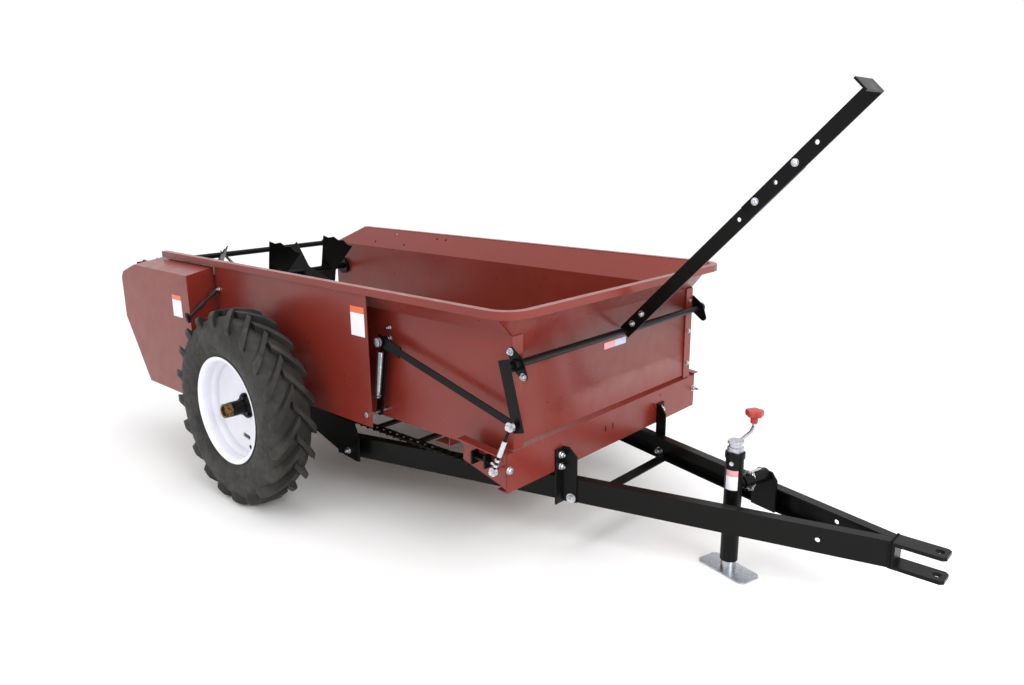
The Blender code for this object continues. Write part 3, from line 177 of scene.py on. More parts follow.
def surface(name, roughness, metallic=0.0, specular=0.5, coat=0.0):
    """A new material, with the values that are the same all over set on the shader itself.

    It also gives the place on the machine, which every pattern is drawn from.
    """
    made = bpy.data.materials.new(name)
    made.use_nodes = True
    shader = made.node_tree.nodes["Principled BSDF"]
    shader.inputs["Roughness"].default_value = roughness
    shader.inputs["Metallic"].default_value = metallic
    shader.inputs["Specular IOR Level"].default_value = specular
    shader.inputs["Coat Weight"].default_value = coat
    shader.inputs["Coat Roughness"].default_value = COAT_ROUGHNESS
    place = add(made.node_tree, COORDINATES).outputs["Object"]
    return made, made.node_tree, shader, place


def wire(tree, shader, colour=None, roughness=None, normal=None):
    """Leads what the patterns made to the shader."""
    for output, socket in ((colour, "Base Color"), (roughness, "Roughness"), (normal, "Normal")):
        if output is not None:
            tree.links.new(output, shader.inputs[socket])


# %% [markdown]
# ### Red and black powder coat
#
# The box is folded steel sheet, sprayed with dry powder and baked. What the eye gets from that is
# an even colour, a satin gloss that shows soft reflections, and "orange peel": a fine ripple two
# or three millimetres across. The tongue and the beater are coated black in the same way. The
# rims' white enamel has the same even colour and fine ripple, so it shares the function.


# %% Powder-coated steel
def powder_coat(name, main, deeper, gloss, specular, coat, peel_mm=2.6):
    made, tree, shader, place = surface(name, gloss, specular=specular, coat=coat)
    drift = add(tree, NOISE, {"Vector": place, "Scale": per_metre(420), "Detail": 2})
    film = add(tree, NOISE, {"Vector": place, "Scale": per_metre(60), "Detail": 4})
    peel = add(tree, NOISE, {"Vector": place, "Scale": per_metre(peel_mm), "Detail": 1})
    share = add(tree, RANGE, {"Value": drift.outputs["Fac"], **BLOTCH})
    shades = {0: share.outputs["Result"], 6: paint_colour(main), 7: paint_colour(deeper)}
    colour = add(tree, MIX, shades, data_type="RGBA")
    glosses = {"Value": film.outputs["Fac"], **BLOTCH, "To Min": gloss - 0.05, "To Max": gloss + 0.07}
    sheen = add(tree, RANGE, glosses)
    ripple = add(tree, BUMP, {"Height": peel.outputs["Fac"], "Distance": 0.03 / 1000, "Strength": 0.12})
    wire(tree, shader, colour.outputs[2], sheen.outputs["Result"], ripple.outputs["Normal"])
    return made


RED_COAT = powder_coat("red_powder_coat_on_sheet_steel", "79291F", "73261E", 0.32, 0.42, 0.06)
BLACK_COAT = powder_coat("black_powder_coat_on_steel", "080808", "0B0B0A", 0.34, 0.14, 0.0)
WHITE_COAT = powder_coat("white_enamel_on_pressed_rim", "E9E9F1", "E2E2EC", 0.30, 0.5, 0.2)
print("three coats")

# %% [markdown]
# ### Zinc, bronze and plain steel
#
# Bolts are dipped or plated in zinc: bright, but cloudy, because the metal freezes in crystals.
# The hub's end is a bronze bush with grease and rust on it. The spring is drawn wire.


# %% Bare metals
def plated(name, main, cloudy, gloss, crystal_mm):
    made, tree, shader, place = surface(name, gloss, metallic=1.0)
    crystals = add(tree, CELLS, {"Vector": place, "Scale": per_metre(crystal_mm)})
    wear = add(tree, NOISE, {"Vector": place, "Scale": per_metre(crystal_mm * 2), "Detail": 3})
    grain = add(tree, NOISE, {"Vector": place, "Scale": per_metre(1.5), "Detail": 2})
    share = add(tree, RANGE, {"Value": crystals.outputs["Distance"], "From Min": 0.1, "From Max": 0.8})
    shades = {0: share.outputs["Result"], 6: paint_colour(main), 7: paint_colour(cloudy)}
    colour = add(tree, MIX, shades, data_type="RGBA")
    glosses = {"Value": wear.outputs["Fac"], **BLOTCH, "To Min": gloss - 0.08, "To Max": gloss + 0.12}
    sheen = add(tree, RANGE, glosses)
    rough = add(tree, BUMP, {"Height": grain.outputs["Fac"], "Distance": 0.05 / 1000, "Strength": 0.3})
    wire(tree, shader, colour.outputs[2], sheen.outputs["Result"], rough.outputs["Normal"])
    return made


ZINC = plated("bright_zinc_plate_on_bolts", "D2D4D8", "BDC0C5", 0.28, 4)
CAST_ZINC = plated("cast_zinc_jack_head", "C6CACF", "ACB0B6", 0.34, 9)
SPRING_STEEL = plated("drawn_spring_wire", "A4A6AC", "8C8E95", 0.34, 9)
BRONZE = plated("greasy_bronze_bush", "8F7347", "4A3A25", 0.46, 9)

# %% [markdown]
# ### Rubber, plastic, pine and label film
#
# A farm tyre is moulded carbon-black rubber: very dark, matt, and always a little brown from dust
# that settles where it is roughest. The crank's knob is moulded red plastic. The floor is pine
# boards, whose rings show as long streaks. The stick-on labels are glossy film, in white, orange,
# pink and a pale blue.

# %% Tyre rubber
TYRE_RUBBER, tree, shader, place = surface("moulded_tyre_rubber", 0.62, specular=0.30)
dirt = add(tree, NOISE, {"Vector": place, "Scale": per_metre(90), "Detail": 5, "Roughness": 0.6})
worn = add(tree, NOISE, {"Vector": place, "Scale": per_metre(25), "Detail": 4})
pitted = add(tree, NOISE, {"Vector": place, "Scale": per_metre(3.5), "Detail": 5, "Roughness": 0.7})
dust = add(tree, RANGE, {"Value": dirt.outputs["Fac"], "From Min": 0.42, "From Max": 0.75})
shades = {0: dust.outputs["Result"], 6: paint_colour("232221"), 7: paint_colour("3B3834")}
colour = add(tree, MIX, shades, data_type="RGBA")
sheen = add(tree, RANGE, {"Value": worn.outputs["Fac"], **BLOTCH, "To Min": 0.52, "To Max": 0.74})
skin = add(tree, BUMP, {"Height": pitted.outputs["Fac"], "Distance": 0.35 / 1000, "Strength": 0.45})
wire(tree, shader, colour.outputs[2], sheen.outputs["Result"], skin.outputs["Normal"])


# %% Strap rubber, knob plastic and label film
def even_skin(made, tree, shader, place, hexes, drift, grain, relief):
    """A smooth finish whose colour drifts between two shades, with a fine grain in its surface.

    drift and grain are each a size in millimetres and a detail; relief is a depth in millimetres
    and a strength.
    """
    blotches = add(tree, NOISE, {"Vector": place, "Scale": per_metre(drift[0]), "Detail": drift[1]})
    fine = add(tree, NOISE, {"Vector": place, "Scale": per_metre(grain[0]), "Detail": grain[1]})
    shades = {0: blotches.outputs["Fac"], 6: paint_colour(hexes[0]), 7: paint_colour(hexes[1])}
    colour = add(tree, MIX, shades, data_type="RGBA")
    height = {"Height": fine.outputs["Fac"], "Distance": relief[0] / 1000, "Strength": relief[1]}
    wire(tree, shader, colour.outputs[2], normal=add(tree, BUMP, height).outputs["Normal"])
    return made


strap = surface("moulded_strap_rubber", 0.55, specular=0.35)
STRAP_RUBBER = even_skin(*strap, ("161616", "222120"), (30, 3), (2, 3), (0.12, 0.4))
plastic = surface("moulded_red_plastic", 0.36)
KNOB_PLASTIC = even_skin(*plastic, ("A92B25", "A02823"), (30, 2), (1.2, 2), (0.05, 0.3))


def film(name, main, faded):
    return even_skin(*surface(name, 0.22, coat=0.3), (main, faded), (35, 2), (6, 2), (0.03, 0.2))


WHITE_FILM = film("white_label_film", "EDEDF2", "E2E2E8")
ORANGE_FILM = film("orange_label_band", "E0642E", "D65C2A")
PINK_FILM = film("pink_label_band", "D49AA0", "CC9197")
BLUE_FILM = film("pale_label_band", "B9C2D6", "AEB8CE")

# %% Pine boards
PINE, tree, shader, place = surface("weathered_pine_boards", 0.66)
# Growth rings run the length of a board, so the pattern is drawn out ten times along X.
along = add(tree, "ShaderNodeMapping", {"Vector": place, "Scale": (0.1, 1.0, 1.0)}).outputs["Vector"]
rings = add(tree, NOISE, {"Vector": along, "Scale": per_metre(9), "Detail": 5, "Distortion": 0.6})
streak = add(tree, RANGE, {"Value": rings.outputs["Fac"], "From Min": 0.35, "From Max": 0.65})
shades = {0: streak.outputs["Result"], 6: paint_colour("9A7A52"), 7: paint_colour("6E5233")}
colour = add(tree, MIX, shades, data_type="RGBA")
sheen = add(tree, RANGE, {"Value": streak.outputs["Result"], "To Min": 0.55, "To Max": 0.78})
grooves = add(tree, BUMP, {"Height": rings.outputs["Fac"], "Distance": 0.6 / 1000, "Strength": 0.5})
wire(tree, shader, colour.outputs[2], sheen.outputs["Result"], grooves.outputs["Normal"])

# %% Studio floor
STUDIO_PAPER, tree, shader, place = surface("pale_studio_floor", 0.9, specular=0.1)
mottle = add(tree, NOISE, {"Vector": place, "Scale": per_metre(800), "Detail": 2})
shades = {0: mottle.outputs["Fac"], 6: paint_colour("FCFCFC"), 7: paint_colour("FBFBFB")}
wire(tree, shader, add(tree, MIX, shades, data_type="RGBA").outputs[2])
print(len(bpy.data.materials), "materials")

# %% [markdown]
# ## Tools for making pieces
#
# Three ways of making a shape do nearly everything here. A *sweep* runs a round section along a
# path, for wires, rods and links. A *turning* spins a profile about a line, as a lathe does. And
# *softening* takes a panel from the engineering model and gives its edges the small radius that
# folding and coating leave, because no real edge is perfectly sharp and it is that radius which
# catches the light.


# %% Pieces from a mesh being built
def finish_piece(name, build, finishes, body, replaces=(), sharp=35):
    mesh = bpy.data.meshes.new(name)
    bmesh.ops.recalc_face_normals(build, faces=build.faces[:])
    build.to_mesh(mesh)
    build.free()
    for finish in finishes:
        mesh.materials.append(finish)
    mesh.shade_smooth()
    mesh.set_sharp_from_angle(angle=radians(sharp))
    piece = bpy.data.objects.new(name, mesh)
    bpy.context.scene.collection.objects.link(piece)
    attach(piece, body)
    if replaces:
        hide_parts(*replaces)
    return piece


def stand_for(node, name, build, finishes):
    """A finished piece that takes the place of one node, and rides on that node's body."""
    return finish_piece(name, build, finishes, body_of_node[node], [node])


def ring_faces(build, near, far, material=0):
    count = len(near)
    for i in range(count):
        j = (i + 1) % count
        build.faces.new((near[i], near[j], far[j], far[i])).material_index = material


def sweep(build, points, radius, sides=10, closed=False, material=0):
    """Runs a round section along points; radius is one size, or one for each point."""
    points = [Vector(point) for point in points]
    sizes = radius if isinstance(radius, (list, tuple)) else [radius] * len(points)
    count = len(points)
    rings = []
    side = None
    for i, point in enumerate(points):
        before = points[i - 1] if closed or i else point
        after = points[(i + 1) % count] if closed or i < count - 1 else point
        heading = (after - before).normalized()
        if side is None:
            side = heading.orthogonal().normalized()
        side = (side - heading * side.dot(heading)).normalized()
        up = heading.cross(side)
        ring = []
        for k in range(sides):
            turn = 2 * pi * k / sides
            ring.append(build.verts.new(point + (side * cos(turn) + up * sin(turn)) * sizes[i]))
        rings.append(ring)
    for near, far in zip(rings, rings[1:]):
        ring_faces(build, near, far, material)
    if closed:
        start, end = rings[0], rings[-1]
        shift = min(range(sides), key=lambda k: (start[k].co - end[0].co).length)
        ring_faces(build, end, start[shift:] + start[:shift], material)
    else:
        build.faces.new(rings[0]).material_index = material
        build.faces.new(list(reversed(rings[-1]))).material_index = material


def turning(build, profile, centre, axis, steps=64, material=0, lobes=0, depth=0.0):
    """Spins a profile of (radius, distance along the axis); lobes flute it by depth."""
    axis = Vector(axis).normalized()
    side = axis.orthogonal().normalized()
    up = axis.cross(side)
    rings = []
    for radius, along in profile:
        ring = []
        for k in range(steps):
            turn = 2 * pi * k / steps
            size = radius * (1 + depth * cos(lobes * turn))
            ring.append(build.verts.new(centre + axis * along + (side * cos(turn) + up * sin(turn)) * size))
        rings.append(ring)
    for near, far in zip(rings, rings[1:]):
        ring_faces(build, near, far, material)
    return rings


def cap(build, ring, material=0):
    build.faces.new(ring).material_index = material


def solid_turning(build, profile, centre, axis, steps=48, material=0, lobes=0, depth=0.0):
    rings = turning(build, profile, centre, axis, steps, material, lobes, depth)
    cap(build, rings[0], material)
    cap(build, list(reversed(rings[-1])), material)


def brick(build, low, high, material=0, turn=None):
    """A box between two corners, joined to the mesh, and moved by turn if it is given."""
    corners = [
        Vector((x, y, z)) for x in (low[0], high[0]) for y in (low[1], high[1]) for z in (low[2], high[2])
    ]
    verts = [build.verts.new(turn @ corner if turn else corner) for corner in corners]
    for face in ((0, 1, 3, 2), (4, 6, 7, 5), (0, 4, 5, 1), (2, 3, 7, 6), (0, 2, 6, 4), (1, 5, 7, 3)):
        build.faces.new([verts[i] for i in face]).material_index = material


def cut_through(piece, build):
    """Cuts the shape being built out of a piece, and keeps the result."""
    bmesh.ops.recalc_face_normals(build, faces=build.faces[:])
    mesh = bpy.data.meshes.new("cutter")
    build.to_mesh(mesh)
    build.free()
    cutter = bpy.data.objects.new("cutter", mesh)
    bpy.context.scene.collection.objects.link(cutter)
    step = piece.modifiers.new("cut", "BOOLEAN")
    step.object = cutter
    step.operation = "DIFFERENCE"
    step.solver = "EXACT"
    ready = piece.evaluated_get(bpy.context.evaluated_depsgraph_get())
    piece.data = bpy.data.meshes.new_from_object(ready)
    piece.modifiers.clear()
    bpy.data.objects.remove(cutter)


# %% [markdown]
# Softening first merges the flat triangles of the engineering model into whole faces, so that the
# bevel only follows real edges. Folded sheet three millimetres thick gets a radius of about half
# a millimetre to one millimetre.


# %% Soften the engineering model's panels
EDGE_RADIUS, EDGE_STEPS = 0.0008, 2
FLAT_WITHIN, SHADE_SHARP, BEVEL_SHARP = radians(0.6), radians(32), radians(40)


def soften(node, finish):
    mesh = frame["nodes"][node].data.copy()
    mesh.materials.clear()
    build = bmesh.new()
    build.from_mesh(mesh)
    bmesh.ops.remove_doubles(build, verts=build.verts[:], dist=1e-5)
    bmesh.ops.dissolve_limit(
        build,
        angle_limit=FLAT_WITHIN,
        verts=build.verts[:],
        edges=build.edges[:],
        use_dissolve_boundaries=False,
    )
    build.to_mesh(mesh)
    build.free()
    mesh.materials.append(finish)
    for face in mesh.polygons:
        face.material_index = 0
    mesh.shade_smooth()
    mesh.set_sharp_from_angle(angle=SHADE_SHARP)
    piece = bpy.data.objects.new(f"{node}_finished", mesh)
    bpy.context.scene.collection.objects.link(piece)
    rounded = piece.modifiers.new("edge radius", "BEVEL")
    rounded.width = EDGE_RADIUS
    rounded.segments = EDGE_STEPS
    rounded.limit_method = "ANGLE"
    rounded.angle_limit = BEVEL_SHARP
    rounded.harden_normals = True
    ready = piece.evaluated_get(bpy.context.evaluated_depsgraph_get())
    piece.data = bpy.data.meshes.new_from_object(ready)
    piece.modifiers.clear()
    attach(piece, body_of_node[node])
    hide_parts(node)
    return piece


MADE_ANEW = {
    "tyre_right", "tyre_left", "rim_right", "rim_left", "relay_spring", "holding_spring",
    "guard_latch_right", "guard_latch_left", "crank_knob", "jack_crank", "jack_head",
    "relay_pivot_bolt", "floor", "apron_upper_run", "apron_lower_run", "apron_front_bend",
    "apron_rear_bend", "chain_adjuster_right", "chain_adjuster_left",
}
COATS = {"red_paint": RED_COAT, "black_paint": BLACK_COAT, "zinc_plate": CAST_ZINC}
softened = {}
for subpart in frame["record"]["subparts"]:
    node, slot = subpart["node"], subpart["material_slot"]
    if node not in MADE_ANEW:
        softened[node] = soften(node, COATS[slot])
print(len(softened), "panels and bars softened")

# %% [markdown]
# ## The wheels
#
# A farm tyre grips with tall bars set in a herringbone: each runs from the middle of the tread,
# slants back and ends on the shoulder, and the bars of the two sides are staggered by half a
# space. The carcass is a turning. Each bar is a strip of four-sided sections set along a curve,
# which is far lighter than sculpting, and follows the round shoulder as the moulded bar does.

# %% The tyre
WHEEL_Y = abs(joint_at["wheel_right"].y)
BARS_A_SIDE = 20
MOULDED_RADIUS = 0.0022
BAR_SWEEP = 0.33  # radians that a bar falls back from the middle to the shoulder
# Each station: distance from the middle, height of the bar's top, height of its foot, half widths.
BAR_STATIONS = (
    (-0.010, 0.4030, 0.370, 0.0145, 0.0185),
    (0.012, 0.4030, 0.370, 0.0150, 0.0195),
    (0.032, 0.4022, 0.370, 0.0155, 0.0205),
    (0.052, 0.4002, 0.368, 0.0160, 0.0215),
    (0.070, 0.3970, 0.362, 0.0165, 0.0220),
    (0.0850, 0.3915, 0.352, 0.0165, 0.0215),
    (0.0925, 0.3780, 0.340, 0.0150, 0.0200),
    (0.0945, 0.3560, 0.330, 0.0105, 0.0150),
)
CARCASS = (
    (0.2035, 0.0620), (0.2110, 0.0690), (0.2200, 0.0735), (0.2240, 0.0750), (0.2275, 0.0765),
    (0.2310, 0.0765), (0.2400, 0.0830), (0.2600, 0.0895), (0.2850, 0.0925), (0.3150, 0.0925),
    (0.3400, 0.0890), (0.3580, 0.0810), (0.3690, 0.0650), (0.3750, 0.0400), (0.3765, 0.0),
)
CARCASS_INSIDE = ((0.364, 0.0), (0.355, 0.066), (0.280, 0.082), (0.235, 0.066), (0.2035, 0.047))


def wheel_centre(side):
    return Vector((AXLE_X, side * WHEEL_Y, AXLE_Z))


def tyre_point(side, hand, radius, across, turn):
    """A point on the tyre, from its height, its distance to the outer side and the angle round."""
    return wheel_centre(side) + Vector((radius * cos(turn), side * hand * across, radius * sin(turn)))


def tread_bar(build, side, hand, start):
    """One bar; hand is 1 for the outer half of the tread and -1 for the inner half."""
    rings = []
    for across, top, foot, top_half, foot_half in BAR_STATIONS:
        share = (across - BAR_STATIONS[0][0]) / 0.1
        turn = start - BAR_SWEEP * share
        inside = min(across, 0.0860)
        ring = []
        for half, radius, place in (
            (-foot_half, foot, inside), (-top_half, top, across), (top_half, top, across),
            (foot_half, foot, inside),
        ):
            ring.append(build.verts.new(tyre_point(side, hand, radius, place, turn + half / radius)))
        rings.append(ring)
    for near, far in zip(rings, rings[1:]):
        ring_faces(build, near, far)
    cap(build, rings[0])
    cap(build, list(reversed(rings[-1])))


for side, word in SIDES:
    build = bmesh.new()
    half_profile = list(CARCASS)
    whole = half_profile + [(r, -w) for r, w in reversed(half_profile[:-1])]
    whole += [(r, -w) for r, w in reversed(CARCASS_INSIDE)] + list(CARCASS_INSIDE[1:])
    rings = turning(build, whole, wheel_centre(side), (0, side, 0), 120)
    ring_faces(build, rings[-1], rings[0])
    for hand in (1, -1):
        for i in range(BARS_A_SIDE):
            tread_bar(build, side, hand, 2 * pi * (i + (0.25 if hand > 0 else 0.75)) / BARS_A_SIDE)
    tyre = finish_piece(
        f"lug_tyre_{word}", build, [TYRE_RUBBER], f"wheel_{word}", [f"tyre_{word}"], 30
    )
    worn = tyre.modifiers.new("moulded edges", "BEVEL")
    worn.width = MOULDED_RADIUS
    worn.segments = EDGE_STEPS
    worn.limit_method = "ANGLE"
    worn.angle_limit = BEVEL_SHARP
print(BARS_A_SIDE * 2, "bars on each tyre,", len(tyre.data.polygons), "faces before bevelling")

# %% [markdown]
# The rim is pressed from sheet: two curled edges, two seats for the tyre's beads, a well between
# them, and a dished disc welded inside with two hand slots. Its hub is a long black tube on a
# bolted flange, and the bronze bush shows at the end.

# %% The rim
RIM_OUTSIDE = (
    (0.2180, 0.0800), (0.2215, 0.0805), (0.2225, 0.0785), (0.2210, 0.0765), (0.2150, 0.0755),
    (0.2095, 0.0720), (0.2033, 0.0640), (0.2033, 0.0330), (0.1960, 0.0250), (0.1900, 0.0180),
)
RIM_INSIDE = (
    (0.1860, 0.0200), (0.1925, 0.0280), (0.1990, 0.0350), (0.1990, 0.0650), (0.2060, 0.0745),
    (0.2130, 0.0790),
)
DISC = (
    (0.1860, -0.0020), (0.1810, -0.0050), (0.1720, -0.0095), (0.1600, -0.0140), (0.1450, -0.0170),
    (0.1250, -0.0185), (0.0900, -0.0190), (0.0300, -0.0190), (0.0300, -0.0150), (0.0900, -0.0150),
    (0.1240, -0.0142), (0.1440, -0.0128), (0.1580, -0.0098), (0.1700, -0.0050), (0.1800, 0.0000),
    (0.1860, 0.0050),
)
HUB_RADIUS = 0.0302
for side, word in SIDES:
    build = bmesh.new()
    profile = list(RIM_OUTSIDE) + [(r, -w) for r, w in reversed(RIM_OUTSIDE)]
    profile += [(r, -w) for r, w in reversed(RIM_INSIDE)]
    profile += list(DISC) + list(RIM_INSIDE)
    rings = turning(build, profile, wheel_centre(side), (0, side, 0), 96)
    ring_faces(build, rings[-1], rings[0])
    rim = finish_piece(
        f"pressed_rim_{word}", build, [WHITE_COAT], f"wheel_{word}", [f"rim_{word}"], 40
    )
    slots = bmesh.new()
    for turn in (radians(-98), radians(80)):
        middle = tyre_point(side, 1, 0.140, -0.014, turn)
        lie = Matrix.Translation(middle) @ Matrix.Rotation(-turn, 4, "Y")
        brick(slots, (-0.009, -0.030, -0.026), (0.009, 0.030, 0.026), 0, lie)
    cut_through(rim, slots)

    build = bmesh.new()
    out = (0, side, 0)
    centre = wheel_centre(side)
    turning(build, ((HUB_RADIUS, -0.090), (HUB_RADIUS, 0.060)), centre, out, 48)
    solid_turning(build, ((HUB_RADIUS, -0.0905), (0.0200, -0.0905)), centre, out, 48)
    flange = (
        (HUB_RADIUS, -0.0145), (0.0520, -0.0145), (0.0530, -0.0135), (0.0530, -0.0095),
        (0.0520, -0.0085), (0.0370, -0.0085), (0.0330, -0.0055), (HUB_RADIUS, 0.0),
    )
    turning(build, flange, centre, out, 48)
    bush = ((HUB_RADIUS, 0.060), (0.0296, 0.0610), (0.0290, 0.0850), (0.0275, 0.0868), (0.0225, 0.0868))
    turning(build, (*bush, (0.0205, 0.0850), (0.0205, 0.0700)), centre, out, 48, 1)
    solid_turning(build, ((0.0188, 0.0650), (0.0188, 0.0765), (0.0170, 0.0780)), centre, out, 40, 1)
    for i in range(5):
        turn = 2 * pi * i / 5 + 0.35
        stud = tyre_point(side, 1, 0.0435, -0.0095, turn)
        solid_turning(build, ((0.0088, 0.0), (0.0088, 0.0065), (0.0070, 0.0085)), stud, out, 6)
        solid_turning(build, ((0.0040, 0.0), (0.0040, 0.0140)), stud, out, 12)
    finish_piece(
        f"hub_tube_{word}", build, [BLACK_COAT, BRONZE], f"wheel_{word}", [f"rim_{word}"], 35
    )
    build = bmesh.new()
    valve = tyre_point(side, 1, 0.1960, 0.0300, radians(-60))
    inward = (wheel_centre(side) + Vector((0, side * 0.04, 0)) - valve).normalized()
    sweep(build, [valve, valve + inward * 0.012, valve + inward * 0.034], [0.0055, 0.0042, 0.0040], 12)
    finish_piece(f"valve_stem_{word}", build, [STRAP_RUBBER], f"wheel_{word}", (), 35)
print("rims, hubs and valves made")

# %% [markdown]
# ## Bolts
#
# A bolt is a washer, a hexagon and a slightly domed top. There are dozens on this machine, so a
# list says where each one is, which way it points and how wide its hexagon is, and all the bolts
# that move together become one piece.


# %% Bolt maker
def bolt(build, place, out, across, stud=0.0, material=0):
    """A washer and a six-sided head at place, pointing out, with a stud if it has a nut."""
    head = across / 1.732
    height = across * 0.62
    solid_turning(build, ((head * 1.28, 0.0), (head * 1.28, 0.0018)), place, out, 24, material)
    hexagon = ((head, 0.0018), (head, height * 0.88), (head * 0.86, height))
    solid_turning(build, hexagon, place, out, 6, material)
    if stud:
        core, end = across * 0.27, height + stud
        thread = ((core, height * 0.9), (core, end), (across * 0.2, end + 0.001))
        solid_turning(build, thread, place, out, 12, material)


OUT_X, OUT_UP = (1, 0, 0), (0, 0, 1)
build = bmesh.new()
for side, word in SIDES:
    out = (0, side, 0)
    long_stud = 0.016 if side > 0 else 0.0
    bolt(build, at(1.2503, side * 0.592, 0.396), OUT_X, 0.019, long_stud)
    for z in (0.372, 0.328):
        bolt(build, at(1.2565, side * 0.328, z), OUT_X, 0.019, 0.006)
    for x, z in ((1.243, 0.794), (1.297, 0.720)):
        bolt(build, at(x, side * 0.5710, z), out, 0.017, 0.005)
    bolt(build, at(0.350, side * 0.5776, 0.225), out, 0.019, 0.005)
    for z in (0.78, 0.74):
        bolt(build, at(0.632, side * 0.5642, z), out, 0.017, 0.004)
    for x, z in ((-1.135, 0.745), (-1.205, 0.745), (-1.135, 0.665), (-1.205, 0.665)):
        bolt(build, at(x, side * 0.5642, z), out, 0.017, 0.005)
for z in (0.52, 0.66, 0.79):
    bolt(build, at(1.2460, 0.540, z), OUT_X, 0.013)
bolt(build, at(1.283, -0.3025, 0.205), (0.257, -0.966, 0), 0.024, 0.008)
bolt(build, at(1.283, 0.2870, 0.205), (-0.257, -0.966, 0), 0.024, 0.008)
for side, _ in SIDES:
    bolt(build, at(-0.435, side * 0.6602, 0.812), (0, side, 0), 0.017, 0.004)
frame_bolts = finish_piece("frame_bolts", build, [ZINC], "frame")

# Two short upright slots and one small hole are not cut: they are painted shade, thin black sheets and a disc laid
# on the beam's face.
build = bmesh.new()
for y in (-0.052, -0.004):
    brick(build, (AXLE_X + 1.2500, y - 0.003, 0.378), (AXLE_X + 1.2505, y + 0.003, 0.400))
solid_turning(build, ((0.004, 0.0), (0.004, 0.0005)), at(1.2500, 0.330, 0.428), OUT_X, 20)
finish_piece("beam_slot_painted_shade", build, [BLACK_COAT], "frame")
print(len(frame_bolts.data.polygons), "bolt faces")

# %% [markdown]
# ## The apron
#
# Under the floor two hook-link chains carry cross slats round in a loop and drag the load back to
# the beater. One link is a flat frame with a curled hook at its end. A list of places round the
# loop, one pitch apart, lets every link lean along the run it is on.

# %% Chains and slats
CHAIN_Y, CHAIN_WIDTH = 0.500, 0.036
REAR_X, FRONT_X = -0.930, 1.119
LOOP_LOW, LOOP_HIGH = 0.3245, 0.4735
LOOP_R = (LOOP_HIGH - LOOP_LOW) / 2
LOOP_MID = (LOOP_HIGH + LOOP_LOW) / 2
straight = FRONT_X - REAR_X
loop_length = 2 * straight + 2 * pi * LOOP_R
LINKS = round(loop_length / 0.041)
pitch = loop_length / LINKS


def on_loop(distance):
    """A place on the loop (x, z) and the angle of travel there; it starts at the upper rear."""
    distance %= loop_length
    if distance < straight:
        return REAR_X + distance, LOOP_HIGH, 0.0
    distance -= straight
    if distance < pi * LOOP_R:
        turn = distance / LOOP_R
        return FRONT_X + LOOP_R * sin(turn), LOOP_MID + LOOP_R * cos(turn), -turn
    distance -= pi * LOOP_R
    if distance < straight:
        return FRONT_X - distance, LOOP_LOW, -pi
    turn = (distance - straight) / LOOP_R
    return REAR_X - LOOP_R * sin(turn), LOOP_MID - LOOP_R * cos(turn), -pi - turn


def link_frame(distance, y):
    x, z, travel = on_loop(distance)
    return Matrix.Translation(at(x, y, z)) @ Matrix.Rotation(-travel, 4, "Y")


build = bmesh.new()
half = CHAIN_WIDTH / 2
for side, _ in SIDES:
    for i in range(LINKS):
        lie = link_frame(i * pitch, side * CHAIN_Y)
        for y in (-half, half - 0.006):
            brick(build, (-0.0175, y, -0.003), (0.0175, y + 0.006, 0.003), 0, lie)
        brick(build, (-0.0195, -half, -0.0035), (-0.0135, half, 0.0035), 0, lie)
        brick(build, (0.008, -0.007, 0.003), (0.0150, 0.007, 0.0150), 0, lie)
        hook = [lie @ Vector((0.0165, y, 0)) for y in (-half, half)]
        sweep(build, hook, 0.0048, 8)
apron_parts = ["apron_upper_run", "apron_lower_run", "apron_front_bend", "apron_rear_bend"]
SLAT_EVERY = 6
for i in range(0, LINKS, SLAT_EVERY):
    lie = link_frame(i * pitch, 0)
    brick(build, (-0.014, -0.480, -0.004), (0.014, 0.480, 0.001), 0, lie)
    brick(build, (-0.014, -0.480, 0.001), (-0.010, 0.480, 0.006), 0, lie)
finish_piece("apron_chains_and_slats", build, [BLACK_COAT], "frame", apron_parts)
print(LINKS, "links in each chain, pitch", round(pitch * 1000, 1), "mm")

# %% [markdown]
# ## The floor
#
# The load rests on boards laid lengthwise, with gaps of a couple of millimetres between them.

# %% Boards
floor_low, floor_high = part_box("floor")
BOARDS, BOARD_GAP = 8, 0.002
board_width = (floor_high.y - floor_low.y) / BOARDS
build = bmesh.new()
for i in range(BOARDS):
    start = floor_low.y + i * board_width
    near_side, far_side = start + BOARD_GAP / 2, start + board_width - BOARD_GAP / 2
    brick(build, (floor_low.x, near_side, floor_low.z), (floor_high.x, far_side, floor_high.z))
boards = finish_piece("floor_boards", build, [PINE], "frame", ["floor"])
eased = boards.modifiers.new("eased edges", "BEVEL")
eased.width = 0.0012
print(BOARDS, "boards", round(board_width * 1000), "mm wide")

# %% [markdown]
# ## The control springs and pins
#
# The relay spring is close-wound wire on a rod: a helix swept with a round section. The holding
# link is a rod with an eye at the top and two nuts at the foot.

# %% Relay spring
foot = at(0.600, -0.6180, 0.458)
top = at(0.652, -0.6180, 0.741)
line = (top - foot).normalized()
start, end = foot + line * 0.070, top - line * 0.044
COILS, COIL_R, WIRE_R = 34, 0.0095, 0.0030
side_way = line.orthogonal().normalized()
other_way = line.cross(side_way)
helix = []
for i in range(COILS * 14 + 1):
    share = i / (COILS * 14)
    turn = 2 * pi * share * COILS
    helix.append(start.lerp(end, share) + (side_way * cos(turn) + other_way * sin(turn)) * COIL_R)
build = bmesh.new()
sweep(build, helix, WIRE_R, 6)
sweep(build, [start - line * 0.006, end + line * 0.004], 0.0052, 12)
for place in (start - line * 0.004, end + line * 0.002):
    solid_turning(build, ((0.0125, -0.002), (0.0125, 0.002)), place, line, 24)
roller = ((0.0080, -0.0255), (0.0165, -0.0245), (0.0165, -0.0185), (0.0150, -0.0170), (0.0165, -0.0155))
roller += ((0.0165, -0.0100), (0.0080, -0.0090))
solid_turning(build, roller, top, (0, 1, 0), 40, lobes=20, depth=0.03)
